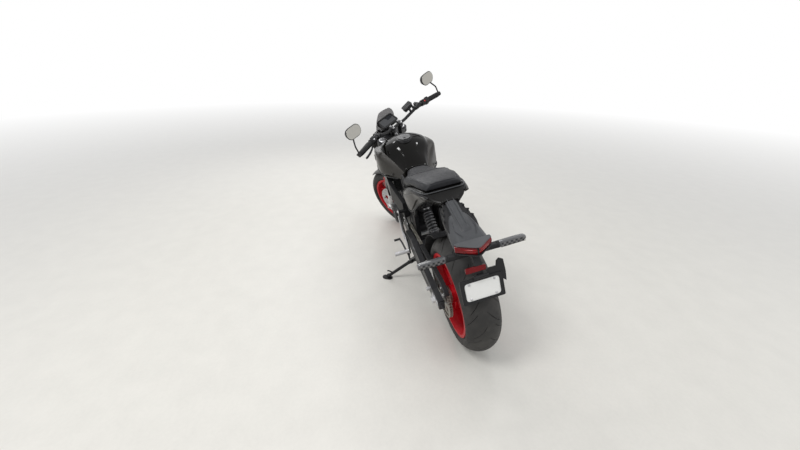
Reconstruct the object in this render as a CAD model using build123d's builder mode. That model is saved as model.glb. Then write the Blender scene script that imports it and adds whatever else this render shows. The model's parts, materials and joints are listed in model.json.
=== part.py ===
import os
from math import cos, degrees, radians, sin, sqrt, tan

from build123d import *

# A naked roadster motorcycle, leaning on its side stand with its steering turned
# to the left stop. It is laid out upright and straight ahead first: +X forward,
# +Y left, +Z up, with the floor point below the rear axle as origin. At the end
# each piece is steered, leaned and set on the floor. Millimetres and degrees.

# Chassis geometry
wheelbase = 1480.0
tail_front = 40.0
rake = 25.0
trail = 105.0
lean = 12.0
steer_lock = 33.0



def laid(x):
    """A place along the body ahead of the tail, laid out on a wheelbase of 1480 and moving with it."""
    return tail_front + (x - tail_front) * (wheelbase - tail_front) / (1480 - tail_front)


def laid_rows(rows):
    return [(laid(row[0]), *row[1:]) for row in rows]


# Clearances
rest_gap = 0.3
running_fit = 0.1

# Rear wheel
rear_radius = 316.0
rear_half_width = 90.0
rear_crown = 102.0
rear_bead_radius = 216.3
rear_bead_half = 77.5
rear_axle_radius = 12.5
rear_disc_radius = 122.5
rear_disc_y = -80.5

# Front wheel
front_radius = 300.0
front_half_width = 60.0
front_crown = 66.4
front_bead_radius = 216.3
front_bead_half = 44.5
front_axle_radius = 11.0
front_disc_radius = 149.0
front_disc_y = 64.0

# Wheel rims and discs
flange_height = 12.5
flange_width = 5.0
rim_depth = 16.0
spoke_pairs = 5
spoke_splay = 11.0
hub_radius = 46.0
disc_width = 5.0

# Final drive
chain_y = 107.0
chain_pitch = 15.875
rear_teeth = 43
front_teeth = 16
chain_plate_half = 7.5
chain_roller = 5.08
chain_inner_gap = 9.5
chain_width = 17.0
sprocket_width = 6.0
tooth_gap = 0.8
front_sprocket_x = laid(600.0)
front_sprocket_z = 420.0

# Swingarm
pivot_x = laid(545.0)
pivot_z = 408.0
pivot_radius = 12.0
pivot_boss = 20.0
pivot_plate_inner = 66.0
pivot_plate_outer = 92.0
arm_inner = 124.0
arm_outer = 156.0
member_clearance = 22.0

# Threaded bosses for a paddock stand's spools
spool_x = 95.0
spool_above_axle = 2.0
spool_boss_radius = 11.0
spool_thread_radius = 4.0
spool_thread_depth = 18.0

# Fork and steering
fork_offset = 31.6
fork_half = 105.0
fork_tube_radius = 27.0
fork_slider_radius = 21.5
lower_yoke = 800.0
upper_yoke = 992.0
yoke_width = 34.0
head_tube_radius = 32.0
stem_radius = 15.0

# Handlebar
bar_radius = 11.0
grip_radius = 17.0
bar_end_y = 413.0
grip_length = 125.0

# Side stand
stand_pivot = Vector(laid(552), 128, 232)
stand_foot_reach = Vector(96, 170, 0)
stand_leg_radius = 11.0
stand_pin_radius = 6.0

# Derived places
steer_floor_x = wheelbase + trail
rear_hub = Vector(0, 0, rear_radius)
front_hub = Vector(wheelbase, 0, front_radius)
axle_direction = Vector(0, 1, 0)
steer_up = Vector(-sin(radians(rake)), 0, cos(radians(rake)))
steer_forward = Vector(cos(radians(rake)), 0, sin(radians(rake)))
steer_plane = Plane(origin=(steer_floor_x, 0, 0), x_dir=steer_forward, z_dir=steer_up)
steer_axis = Axis((steer_floor_x, 0, 0), steer_up)
axle_height = (front_hub - Vector(steer_floor_x, 0, 0)).dot(steer_up)
axle_lead = (front_hub - Vector(steer_floor_x, 0, 0)).dot(steer_forward)
rear_pitch_radius = chain_pitch / (2 * sin(radians(180 / rear_teeth)))
front_pitch_radius = chain_pitch / (2 * sin(radians(180 / front_teeth)))

chassis = {}
steering = {}
rear_wheel = {}
front_wheel = {}
fuel_cap_body = {}


def steered_point(point):
    return (point - steer_axis.position).rotate(steer_axis, steer_lock) + steer_axis.position


def steer_place(ahead, side, height):
    """An upright place given ahead of the steering axis, to the left, and up along the axis."""
    return Vector(steer_floor_x, side, 0) + steer_forward * ahead + steer_up * height


def leaned(vector, pitch):
    return vector.rotate(Axis.Y, pitch).rotate(Axis.X, -lean)


def tyre_low(hub, spin, radius, crown):
    return hub.Z - (radius - crown) * sqrt(1 - spin.Z**2) - crown


# Nose pitch and drop that bring both tyres down to the floor
front_spin = axle_direction.rotate(Axis((0, 0, 0), steer_up), steer_lock)
nose_pitch = 0.0
for _ in range(8):
    rear_low = tyre_low(
        leaned(rear_hub, nose_pitch), leaned(axle_direction, nose_pitch), rear_radius, rear_crown
    )
    front_low = tyre_low(
        leaned(steered_point(front_hub), nose_pitch),
        leaned(front_spin, nose_pitch),
        front_radius,
        front_crown,
    )
    nose_pitch += degrees((front_low - rear_low) / wheelbase)
drop = Vector(0, 0, rear_low)


def parked_point(point):
    return leaned(point, nose_pitch) - drop


def parked(shape):
    return shape.rotate(Axis.Y, nose_pitch).rotate(Axis.X, -lean).translate(-drop)


def body_section(x, top, shoulder, shoulder_z, waist, waist_z, foot, foot_z):
    """A cross-section of a body panel: arched top, sloped shoulders, flat foot."""
    with BuildSketch(Plane.YZ.offset(x)) as section:
        with BuildLine():
            ThreePointArc((shoulder, shoulder_z), (0, top), (-shoulder, shoulder_z))
            Polyline(
                (-shoulder, shoulder_z),
                (-waist, waist_z),
                (-foot, foot_z),
                (foot, foot_z),
                (waist, waist_z),
                (shoulder, shoulder_z),
            )
        make_face()
    return section.sketch


def bar_section(x, y, z, thick, tall):
    """A rectangular cross-section of a beam that runs fore and aft."""
    with BuildSketch(Plane.YZ.offset(x)) as section:
        with Locations((y, z)):
            Rectangle(thick, tall)
    return section.sketch


def panel_section(x, inner_top, z_1, outer_top, z_2, outer_foot, z_3, inner_foot, z_4):
    """A four-sided cross-section of a panel on the left side."""
    with BuildSketch(Plane.YZ.offset(x)) as section:
        with BuildLine():
            Polyline(
                (inner_top, z_1), (inner_foot, z_4), (outer_foot, z_3), (outer_top, z_2), close=True
            )
        make_face()
    return section.sketch


def tyre(hub, radius, half_width, crown, bead_radius, bead_half):
    """A tyre as a closed ring that sits between the rim's flanges."""
    edge = radius - crown + sqrt(crown**2 - half_width**2)
    flange_top = bead_radius + flange_height + 2
    with BuildPart() as ring:
        with BuildSketch(Plane.YZ):
            with BuildLine():
                ThreePointArc((half_width, edge), (0, radius), (-half_width, edge))
                Polyline(
                    (-half_width, edge),
                    (-half_width + 1, (edge + flange_top) / 2),
                    (-bead_half, flange_top),
                    (-bead_half, bead_radius),
                    (bead_half, bead_radius),
                    (bead_half, flange_top),
                    (half_width - 1, (edge + flange_top) / 2),
                    (half_width, edge),
                )
            make_face()
        revolve(axis=Axis.Y)
    return ring.part.translate(hub)


def spoke(rim_reach, hub_width, rim_width):
    """One tapered spoke, standing up from the hub towards the rim."""
    with BuildPart() as blade:
        for reach, thick, wide in ((hub_radius - 4, 26, hub_width), (rim_reach, 15, rim_width)):
            with BuildSketch(Plane.XY.offset(reach)):
                RectangleRounded(thick, wide, thick / 3)
        loft(ruled=True)
    return blade.part


def rim(hub, bead_radius, bead_half, hub_half, axle_radius, barrel_half):
    """A cast rim: flanged barrel, hub and pairs of spokes that splay outwards."""
    barrel = bead_radius - rest_gap
    flange = barrel + flange_height
    inner = barrel - rim_depth
    edge = bead_half + rest_gap
    blade = spoke(inner + 3, 0.9 * 2 * hub_half * 0.62, barrel_half * 1.6)
    with BuildPart() as wheel:
        with BuildSketch(Plane.YZ):
            with BuildLine():
                Polyline(
                    (-edge - flange_width, flange),
                    (-edge, flange),
                    (-edge, barrel),
                    (edge, barrel),
                    (edge, flange),
                    (edge + flange_width, flange),
                    (edge + flange_width, barrel - 4),
                    (barrel_half, inner),
                    (-barrel_half, inner),
                    (-edge - flange_width, barrel - 4),
                    close=True,
                )
            make_face()
        revolve(axis=Axis.Y)
        for pair in range(spoke_pairs):
            for side in (-1, 1):
                angle = pair * 360 / spoke_pairs + side * spoke_splay
                add(blade.rotate(Axis.Y, angle))
        with BuildSketch(Plane.XZ):
            Circle(hub_radius)
        extrude(amount=hub_half, both=True)
        with BuildSketch(Plane.XZ):
            Circle(axle_radius + running_fit)
        extrude(amount=hub_half, both=True, mode=Mode.SUBTRACT)
    return wheel.part.translate(hub)


def disc(hub, y, radius, band, carrier_radius, seat_y):
    """A brake disc with drilled band and a carrier that bolts to the hub's face."""
    with BuildPart() as plate:
        with BuildSketch(Plane(origin=hub + Vector(0, y - disc_width / 2, 0), z_dir=(0, 1, 0))):
            Circle(radius)
            Circle(radius - band, mode=Mode.SUBTRACT)
            with PolarLocations(radius - band / 2, 18):
                Circle(4, mode=Mode.SUBTRACT)
        extrude(amount=disc_width)
        with BuildSketch(Plane(origin=hub + Vector(0, y - 2, 0), z_dir=(0, 1, 0))):
            Circle(radius - band + 1)
            Circle(carrier_radius - 12, mode=Mode.SUBTRACT)
            with PolarLocations((radius - band + carrier_radius) / 2, 6):
                Circle((radius - band - carrier_radius) * 0.36, mode=Mode.SUBTRACT)
        extrude(amount=4)
        inner = min(seat_y, y)
        with BuildSketch(Plane(origin=hub + Vector(0, inner, 0), z_dir=(0, 1, 0))):
            Circle(carrier_radius)
            Circle(carrier_radius - 12, mode=Mode.SUBTRACT)
        extrude(amount=abs(seat_y - y))
    return plate.part


# Tyres
rear_wheel["rear_tyre"] = tyre(
    rear_hub, rear_radius, rear_half_width, rear_crown, rear_bead_radius, rear_bead_half
)
front_wheel["front_tyre"] = tyre(
    front_hub, front_radius, front_half_width, front_crown, front_bead_radius, front_bead_half
)

# Rims
rear_hub_half = 72.0
front_hub_half = 52.0
rear_wheel["rear_rim"] = rim(
    rear_hub, rear_bead_radius, rear_bead_half, rear_hub_half, rear_axle_radius, 40
)
front_wheel["front_rim"] = rim(
    front_hub, front_bead_radius, front_bead_half, front_hub_half, front_axle_radius, 24
)

# Discs
rear_wheel["rear_disc"] = disc(rear_hub, rear_disc_y, rear_disc_radius, 32, 56, -rear_hub_half)
front_disc_left = disc(front_hub, front_disc_y, front_disc_radius, 32, 56, front_hub_half)
with BuildPart() as front_discs:
    add(front_disc_left)
    mirror(about=Plane.XZ)
front_wheel["front_discs"] = front_discs.part

# Rear sprocket, with its carrier seated on the hub
with BuildPart() as rear_sprocket:
    with BuildSketch(
        Plane(origin=rear_hub + Vector(0, chain_y - sprocket_width / 2, 0), z_dir=(0, 1, 0))
    ):
        Circle(rear_pitch_radius - chain_roller - tooth_gap)
        with PolarLocations(rear_pitch_radius, rear_teeth):
            Circle(chain_roller + 1.6, mode=Mode.SUBTRACT)
        with PolarLocations(70, 5):
            Circle(15, mode=Mode.SUBTRACT)
        Circle(30, mode=Mode.SUBTRACT)
    extrude(amount=sprocket_width)
    with BuildSketch(Plane(origin=rear_hub + Vector(0, rear_hub_half, 0), z_dir=(0, 1, 0))):
        Circle(48)
        Circle(rear_axle_radius + running_fit, mode=Mode.SUBTRACT)
    extrude(amount=chain_y - sprocket_width / 2 - rear_hub_half + 3)
rear_wheel["rear_sprocket"] = rear_sprocket.part

# Chain: two rows of plates with the rollers between them, as one fixed loop
sprocket_centre = Vector(front_sprocket_x, 0, front_sprocket_z)
chain_layers = (
    (-chain_width / 2, (chain_width - chain_inner_gap) / 2, chain_plate_half),
    (-chain_inner_gap / 2, chain_inner_gap, chain_roller),
    (chain_inner_gap / 2, (chain_width - chain_inner_gap) / 2, chain_plate_half),
)
with BuildPart() as chain:
    for start, width, reach in chain_layers:
        for side, kind in ((reach, Mode.ADD), (-reach, Mode.SUBTRACT)):
            with BuildSketch(Plane.XZ.offset(-(chain_y + start))):
                with BuildLine():
                    CenterArc((0, rear_radius), rear_pitch_radius + side, 0, 360)
                    CenterArc(
                        (front_sprocket_x, front_sprocket_z), front_pitch_radius + side, 0, 360
                    )
                make_hull()
            extrude(amount=-width, mode=kind)
chassis["chain"] = chain.part

# Rear axle with its spacers and nuts
with BuildPart() as rear_axle:
    with BuildSketch(Plane(origin=rear_hub, x_dir=(0, 1, 0), z_dir=(1, 0, 0))):
        with BuildLine():
            Polyline(
                (-arm_outer - 20, 0),
                (-arm_outer - 20, 19),
                (-arm_outer - rest_gap, 19),
                (-arm_outer - rest_gap, rear_axle_radius),
                (-arm_inner + rest_gap, rear_axle_radius),
                (-arm_inner + rest_gap, 20),
                (rear_disc_y - disc_width / 2 - 3, 20),
                (rear_disc_y - disc_width / 2 - 3, rear_axle_radius),
                (chain_y + 6, rear_axle_radius),
                (chain_y + 6, 20),
                (arm_inner - rest_gap, 20),
                (arm_inner - rest_gap, rear_axle_radius),
                (arm_outer + rest_gap, rear_axle_radius),
                (arm_outer + rest_gap, 19),
                (arm_outer + 20, 19),
                (arm_outer + 20, 0),
                close=True,
            )
        make_face()
    revolve(axis=Axis(rear_hub, axle_direction))
chassis["rear_axle"] = rear_axle.part

# Swingarm
arm_outline = (
    (-62, rear_radius - 26),
    (60, rear_radius - 36),
    (300, 308),
    (pivot_x - 65, pivot_z - 52),
    (pivot_x + 30, pivot_z - 34),
    (pivot_x + 38, pivot_z + 10),
    (pivot_x + 8, pivot_z + 48),
    (pivot_x - 115, pivot_z + 52),
    (240, pivot_z - 4),
    (40, rear_radius + 34),
    (-62, rear_radius + 26),
)
member_rear = rear_radius + member_clearance
member_middle = member_rear + 45
member_z = rear_radius + (front_sprocket_z - rear_radius) * member_middle / front_sprocket_x
cross_member = [
    (member_rear + ahead, member_z + rise)
    for ahead, rise in ((0, -48), (0, 16), (24, 47.5), (90, 47.5), (90, -22), (70, -48))
]
with BuildPart() as swingarm:
    with BuildSketch(Plane.XZ.offset(-arm_inner)):
        with BuildLine():
            Polyline(*arm_outline, close=True)
        make_face()
    extrude(amount=-(arm_outer - arm_inner))
    with BuildSketch(Plane(origin=(pivot_x, pivot_plate_outer + rest_gap, pivot_z), z_dir=(0, 1, 0))):
        Circle(pivot_boss)
    extrude(amount=arm_inner - pivot_plate_outer - rest_gap)
    mirror(about=Plane.XZ)
    with BuildSketch(Plane.XZ.offset(-arm_inner)):
        with BuildLine():
            Polyline(*cross_member, close=True)
        make_face()
    extrude(amount=2 * arm_inner)
    for x, z, radius in (
        (0, rear_radius, rear_axle_radius + running_fit),
        (pivot_x, pivot_z, pivot_radius + running_fit),
    ):
        with BuildSketch(Plane(origin=(x, -arm_outer, z), z_dir=(0, 1, 0))):
            Circle(radius)
        extrude(amount=2 * arm_outer, mode=Mode.SUBTRACT)
chassis["swingarm"] = swingarm.part

# Threaded bosses on the swingarm's outer faces
with BuildPart() as spool_bosses:
    with BuildSketch(Plane(origin=(spool_x, arm_outer, rear_radius + spool_above_axle), z_dir=(0, 1, 0))):
        Circle(spool_boss_radius)
        Circle(spool_thread_radius, mode=Mode.SUBTRACT)
    extrude(amount=spool_thread_depth)
    mirror(about=Plane.XZ)
chassis["spool_bosses"] = spool_bosses.part

# Main frame: head tube, twin spars, pivot plates and cross tube
neck_gap = upper_yoke - lower_yoke - yoke_width
neck_middle = lower_yoke + yoke_width + neck_gap / 2
neck_tall = 0.633 * neck_gap
neck_end = steer_place(-20.3, 26, neck_middle - 7.6)
neck_back = steer_place(-87.3, 44, neck_middle + 23.7)
neck_bend = steer_place(-155.0, 118, neck_middle + 44.2)
spar_rows = (
    # x, y, z, thickness, height
    (neck_end.X, neck_end.Y, neck_end.Z, 26, neck_tall),
    (neck_back.X, neck_back.Y, neck_back.Z, 28, neck_tall),
    (neck_bend.X, neck_bend.Y, neck_bend.Z, 30, 106),
    (laid(930), 160, 768, 26, 104),
    (laid(760), 160, 665, 26, 110),
    (laid(622), 118, 565, 26, 104),
)
engine_rear = laid(655.0)
pivot_plate = (
    (laid(500), 590),
    (laid(560), 622),
    (engine_rear - rest_gap, 600),
    (engine_rear - rest_gap, 448),
    (laid(622), 470),
    (laid(590), 470),
    (laid(572), 446),
    (laid(566), 352),
    (laid(512), 352),
)
shock_mount = Vector(laid(575), 0, 596)
saddle_x = laid(900.0)
saddle_z = 772.0
saddle_radius = 12.0
subframe_rails = (
    # start x, y, z, end x, y, z, radius
    ((laid(560), 79, 608), (laid(452), 96, 700), 11),
    ((laid(512), 79, 560), (laid(338), 104, 716), 9),
)
with BuildPart() as main_frame:
    loft([bar_section(*row) for row in spar_rows], ruled=True)
    with BuildSketch(Plane.XZ.offset(-pivot_plate_inner)):
        with BuildLine():
            Polyline(*pivot_plate, close=True)
        make_face()
    extrude(amount=pivot_plate_inner - pivot_plate_outer)
    with BuildSketch(Plane.XZ.offset(-80)):
        with BuildLine():
            Polyline(
                (laid(622), 604), (laid(652), 598), (laid(652), 520), (laid(622), 518), close=True
            )
        make_face()
    extrude(amount=-40)
    mirror(about=Plane.XZ)
    with BuildSketch(Plane.XZ):
        with Locations((shock_mount.X, shock_mount.Z)):
            Circle(15)
    extrude(amount=80, both=True)
    with BuildSketch(Plane.XZ):
        with Locations((saddle_x, saddle_z)):
            Circle(saddle_radius)
    extrude(amount=150, both=True)
    for start, end, radius in subframe_rails:
        for side in (-1, 1):
            foot = Vector(start[0], side * start[1], start[2])
            head = Vector(end[0], side * end[1], end[2])
            with BuildSketch(Plane(origin=foot, z_dir=head - foot)):
                Circle(radius)
            extrude(amount=(head - foot).length)
    with BuildSketch(steer_plane.offset(lower_yoke + yoke_width + 4)):
        Circle(head_tube_radius)
    extrude(amount=upper_yoke - lower_yoke - yoke_width - 8)
    with BuildSketch(steer_plane.offset(lower_yoke)):
        Circle(stem_radius + running_fit)
    extrude(amount=upper_yoke - lower_yoke, mode=Mode.SUBTRACT)
    with BuildSketch(Plane(origin=(pivot_x, -100, pivot_z), z_dir=(0, 1, 0))):
        Circle(pivot_radius + running_fit)
    extrude(amount=200, mode=Mode.SUBTRACT)
chassis["main_frame"] = main_frame.part

# Swingarm pivot bolt
with BuildPart() as pivot_bolt:
    with BuildSketch(
        Plane(origin=(pivot_x, -arm_outer - rest_gap - 5, pivot_z), z_dir=(0, 1, 0))
    ):
        Circle(17)
    extrude(amount=5)
    with BuildSketch(Plane(origin=(pivot_x, -arm_outer - rest_gap, pivot_z), z_dir=(0, 1, 0))):
        Circle(pivot_radius)
    extrude(amount=2 * (arm_outer + rest_gap))
    with BuildSketch(Plane(origin=(pivot_x, arm_outer + rest_gap, pivot_z), z_dir=(0, 1, 0))):
        Circle(17)
    extrude(amount=5)
chassis["pivot_bolt"] = pivot_bolt.part

# Engine: crankcase, covers, cylinder block and head
crankcase_half = 95.0
gearbox_half = 65.5
gearbox_radius = 44.0
crankcase_outline = (
    (engine_rear, 345),
    (engine_rear, 505),
    (laid(720), 548),
    (laid(905), 600),
    (laid(1005), 545),
    (laid(1030), 430),
    (laid(1000), 320),
    (laid(905), 266),
    (laid(720), 262),
    (laid(668), 300),
)
with BuildPart() as crankcase:
    with BuildSketch(Plane.XZ.offset(crankcase_half)):
        with BuildLine():
            Polyline(*crankcase_outline, close=True)
        make_face()
    extrude(amount=-2 * crankcase_half)
    with BuildSketch(Plane.XZ):
        with BuildLine():
            CenterArc((front_sprocket_x + 12, front_sprocket_z), gearbox_radius, 0, 360)
            Line((engine_rear + 4, 352), (engine_rear + 4, 500))
        make_hull()
    extrude(amount=gearbox_half, both=True)
    with BuildSketch(Plane.XZ):
        with Locations((front_sprocket_x, front_sprocket_z)):
            Circle(12)
    extrude(amount=-(chain_y + sprocket_width / 2 + 4))
    with BuildSketch(Plane.XZ.offset(-(chain_y - sprocket_width / 2))):
        with Locations((front_sprocket_x, front_sprocket_z)):
            Circle(front_pitch_radius - chain_roller - tooth_gap)
            with PolarLocations(front_pitch_radius, front_teeth):
                Circle(chain_roller + 1.6, mode=Mode.SUBTRACT)
    extrude(amount=-sprocket_width)
chassis["crankcase"] = crankcase.part

with BuildPart() as engine_covers:
    for side, x, z, radius, width in (
        (1, laid(925), 425, 88, 60),
        (-1, laid(850), 425, 105, 66),
    ):
        plane = Plane(
            origin=(x, side * crankcase_half, z), x_dir=(1, 0, 0), z_dir=(0, side, 0)
        )
        with BuildSketch(plane):
            Circle(radius)
        extrude(amount=width, taper=12)
chassis["engine_covers"] = engine_covers.part

cylinder_tilt = 20.0
cylinder_base = Vector(laid(880), 0, 600)
cylinder_half = 138.0
cylinder_depth = 140.0
cylinder_up = Vector(sin(radians(cylinder_tilt)), 0, cos(radians(cylinder_tilt)))
cylinder_plane = Plane(origin=cylinder_base, x_dir=(0, 1, 0), z_dir=cylinder_up)
with BuildPart() as cylinders:
    with BuildSketch(cylinder_plane.offset(-60)):
        RectangleRounded(2 * crankcase_half - 8, cylinder_depth - 24, 12)
    extrude(amount=70)
    with BuildSketch(cylinder_plane.offset(4)):
        RectangleRounded(2 * cylinder_half - 24, cylinder_depth - 24, 12)
    extrude(amount=80)
    for fin in range(6):
        with BuildSketch(cylinder_plane.offset(12 + 11 * fin)):
            RectangleRounded(2 * cylinder_half, cylinder_depth, 18)
        extrude(amount=4)
    with BuildSketch(cylinder_plane.offset(80)):
        RectangleRounded(2 * cylinder_half, cylinder_depth + 6, 14)
    extrude(amount=50)
    add(crankcase.part, mode=Mode.SUBTRACT)
chassis["cylinders"] = cylinders.part

# Radiator
radiator_x = laid(1098.0)
radiator_wide = 300.0
radiator_tall = 230.0
tab_long = 54.0
tab_top = neck_back.Z - neck_tall / 2 + 4
tab_x = radiator_x - 4
tab_share = max(0, (neck_back.X - tab_x) / (neck_back.X - neck_bend.X))
tab_y = neck_back.Y + tab_share * (neck_bend.Y - neck_back.Y)
radiator_z = tab_top - tab_long + 13 - radiator_tall / 2
with BuildPart() as radiator:
    with BuildSketch(Plane(origin=(radiator_x, 0, radiator_z), x_dir=(0, 1, 0), z_dir=(1, 0, 0.12))):
        RectangleRounded(radiator_wide, radiator_tall, 12)
    extrude(amount=16, both=True)
    for side in (-1, 1):
        with BuildSketch(Plane.XY.offset(tab_top - tab_long)):
            with Locations((tab_x, side * tab_y)):
                Rectangle(12, 26)
        extrude(amount=tab_long)
    add(main_frame.part, mode=Mode.SUBTRACT)
chassis["radiator"] = radiator.part

# Exhaust: header pipes, collector and silencer
pipe_radius = 18.0
port = cylinder_base + cylinder_up * 105 + Vector(cylinder_up.Z, 0, -cylinder_up.X) * (
    cylinder_depth / 2 + 3 + rest_gap
)
with BuildPart() as exhaust:
    for y in (-90, 0, 90):
        with BuildLine() as route:
            FilletPolyline(
                (port.X, y, port.Z),
                (port.X + 62 * cos(radians(cylinder_tilt)), y, port.Z - 62 * sin(radians(cylinder_tilt))),
                (laid(1056), y, 430),
                (laid(1034), 0.85 * y, 285),
                (laid(938), 0.6 * y, 205),
                (laid(850), 0.5 * y, 205),
                radius=30,
            )
        with BuildSketch(Plane(route.line @ 0, z_dir=route.line % 0)):
            Circle(pipe_radius)
        sweep(path=route.line)
    with BuildSketch(Plane.YZ.offset(laid(610))):
        with Locations((0, 205)):
            RectangleRounded(170, 76, 30)
    extrude(amount=laid(860) - laid(610))
    with BuildLine() as outlet:
        FilletPolyline(
            (laid(620), -70, 205),
            (laid(560), -110, 205),
            (laid(500), -176, 208),
            (laid(440), -176, 212),
            radius=25,
        )
    with BuildSketch(Plane(outlet.line @ 0, z_dir=outlet.line % 0)):
        Circle(24)
    sweep(path=outlet.line)
    with BuildSketch(Plane(origin=(laid(470), -176, 210), x_dir=(0, 1, 0), z_dir=(-0.998, 0, 0.06))):
        Ellipse(38, 45)
    extrude(amount=270)
chassis["exhaust"] = exhaust.part

# Fuel tank
tank_rows = (
    # x, top, shoulder, shoulder z, waist, waist z, foot, foot z
    (624, 842, 72, 830, 80, 812, 62, 792),
    (720, 905, 92, 876, 118, 842, 84, 770),
    (830, 966, 138, 925, 165, 885, 112, 775),
    (930, 984, 146, 942, 168, 895, 118, 785),
    (1020, 962, 100, 932, 122, 902, 88, 874),
)
with BuildPart() as tank_shell:
    loft([body_section(*row) for row in laid_rows(tank_rows)])
    with BuildSketch(Plane.XZ):
        with Locations((saddle_x, saddle_z)):
            Circle(saddle_radius + rest_gap)
    extrude(amount=150, both=True, mode=Mode.SUBTRACT)
    add(main_frame.part, mode=Mode.SUBTRACT)
cap_x = laid(842.0)
cap_z = 971.0
cap_slope = 9.0
filler_radius = 34.0
cap_radius = 44.0
cap_thick = 7.0
ring_depth = 30.0
ring_proud = 4.0
hinge_radius = 2.5
cap_up = Vector(-sin(radians(cap_slope)), 0, cos(radians(cap_slope)))
cap_forward = Vector(cos(radians(cap_slope)), 0, sin(radians(cap_slope)))
cap_seat = Vector(cap_x, 0, cap_z)
ring_plane = Plane(origin=cap_seat, x_dir=cap_forward, z_dir=cap_up)
cap_hinge = cap_seat + cap_forward * (cap_radius + 9) + cap_up * (ring_proud + 5)
with BuildPart() as well:
    with BuildSketch(ring_plane.offset(-ring_depth)):
        Circle(cap_radius + 6)
    extrude(amount=120)
with BuildPart() as filler_ring:
    with BuildSketch(ring_plane.offset(-ring_depth)):
        Circle(cap_radius + 6)
        Circle(filler_radius, mode=Mode.SUBTRACT)
    extrude(amount=ring_depth + ring_proud)
    with BuildSketch(ring_plane.offset(ring_proud - 6)):
        with Locations((cap_radius + 11, 0)):
            Rectangle(16, 40)
    extrude(amount=6)
    for side in (-1, 1):
        with BuildSketch(Plane(origin=cap_hinge + Vector(0, side * 15 - 3, 0), z_dir=(0, 1, 0))):
            Circle(5.5)
            Circle(hinge_radius + running_fit, mode=Mode.SUBTRACT)
        extrude(amount=6)
with BuildPart() as fuel_tank:
    add(tank_shell.part)
    add(well.part, mode=Mode.SUBTRACT)
    add(filler_ring.part)
chassis["fuel_tank"] = fuel_tank.part

cap_plane = ring_plane.offset(ring_proud + rest_gap)
with BuildPart() as fuel_cap:
    with BuildSketch(cap_plane):
        Circle(cap_radius)
        with Locations((cap_radius, 0)):
            Rectangle(18, 20)
    extrude(amount=cap_thick)
    with BuildSketch(cap_plane.offset(-9)):
        Circle(filler_radius - 3)
    extrude(amount=10)
    with BuildSketch(Plane(origin=cap_hinge - Vector(0, 19, 0), z_dir=(0, 1, 0))):
        Circle(hinge_radius)
    extrude(amount=38)
    with BuildSketch(Plane(origin=cap_hinge - Vector(0, 10, 0), z_dir=(0, 1, 0))):
        Circle(4.6)
    extrude(amount=20)
fuel_cap_body["fuel_cap"] = fuel_cap.part

# Tank side covers, wrapped round the tank's lower edge and the spars
cover_rows = (
    # x, inner top, its z, outer top, its z, outer foot, its z, inner foot, its z
    (632, 66, 822, 92, 812, 112, 776, 84, 768),
    (720, 96, 858, 134, 846, 154, 778, 96, 762),
    (830, 138, 908, 196, 900, 194, 772, 120, 768),
    (930, 146, 920, 202, 908, 198, 764, 150, 762),
    (1040, 120, 914, 190, 902, 192, 752, 160, 750),
    (1105, 156, 868, 178, 858, 180, 784, 164, 778),
)
with BuildPart() as tank_covers:
    loft([panel_section(*row) for row in laid_rows(cover_rows)], ruled=True)
    mirror(about=Plane.XZ)
    add(tank_shell.part, mode=Mode.SUBTRACT)
    add(main_frame.part, mode=Mode.SUBTRACT)
chassis["tank_covers"] = tank_covers.part

# Seat cowl with the side panels
cowl_rows = (
    # x, top, shoulder, shoulder z, waist, waist z, foot, foot z
    (40, 880, 92, 876, 116, 862, 92, 840),
    (120, 882, 106, 879, 124, 864, 98, 814),
    (200, 870, 112, 867, 132, 850, 106, 772),
    (330, 838, 124, 834, 146, 806, 128, 684),
    (450, 796, 122, 792, 142, 764, 124, 666),
    (560, 785, 88, 782, 114, 756, 100, 682),
)
with BuildPart() as seat_cowl:
    loft([body_section(*row) for row in laid_rows(cowl_rows)])
    add(main_frame.part, mode=Mode.SUBTRACT)
chassis["seat_cowl"] = seat_cowl.part

# Seat, lying on the cowl
seat_rows = (
    # x, top, shoulder, shoulder z, waist, waist z, foot, foot z
    (90, 914, 74, 908, 84, 898, 78, 872),
    (200, 912, 104, 904, 122, 890, 112, 852),
    (330, 892, 120, 880, 142, 864, 132, 808),
    (420, 868, 122, 858, 142, 842, 128, 782),
    (500, 850, 92, 842, 108, 826, 96, 774),
    (560, 846, 76, 838, 90, 822, 78, 776),
    (623.7, 840, 62, 828, 72, 812, 56, 796),
)
with BuildPart() as seat:
    loft([body_section(*row) for row in laid_rows(seat_rows)])
    add(seat_cowl.part.translate((0, 0, rest_gap)), mode=Mode.SUBTRACT)
chassis["seat"] = seat.part

# Tail unit with its raised spine
tail_rows = (
    # x, top, shoulder, shoulder z, waist, waist z, foot, foot z
    (-222, 752, 56, 750, 84, 716, 78, 706),
    (-120, 790, 62, 782, 82, 750, 76, 722),
    (-40, 826, 48, 816, 62, 790, 56, 752),
    (39, 858, 44, 848, 56, 826, 50, 786),
)
with BuildPart() as tail_unit:
    loft([body_section(*row) for row in tail_rows])
    loft(
        [
            bar_section(-180, 0, 766, 54, 28),
            bar_section(-60, 0, 808, 60, 34),
            bar_section(39, 0, 848, 64, 34),
        ],
        ruled=True,
    )
chassis["tail_unit"] = tail_unit.part

# Tail lamp lens
lens_plan = ((-221, 84), (-232, 84), (-287, 8), (-287, -8), (-232, -84), (-221, -84))
with BuildPart() as tail_lamp:
    with BuildSketch(Plane.XY.offset(715)):
        with BuildLine():
            Polyline(*lens_plan, close=True)
        make_face()
    extrude(amount=33, taper=8)
    add(tail_unit.part, mode=Mode.SUBTRACT)
chassis["tail_lamp"] = tail_lamp.part

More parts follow.
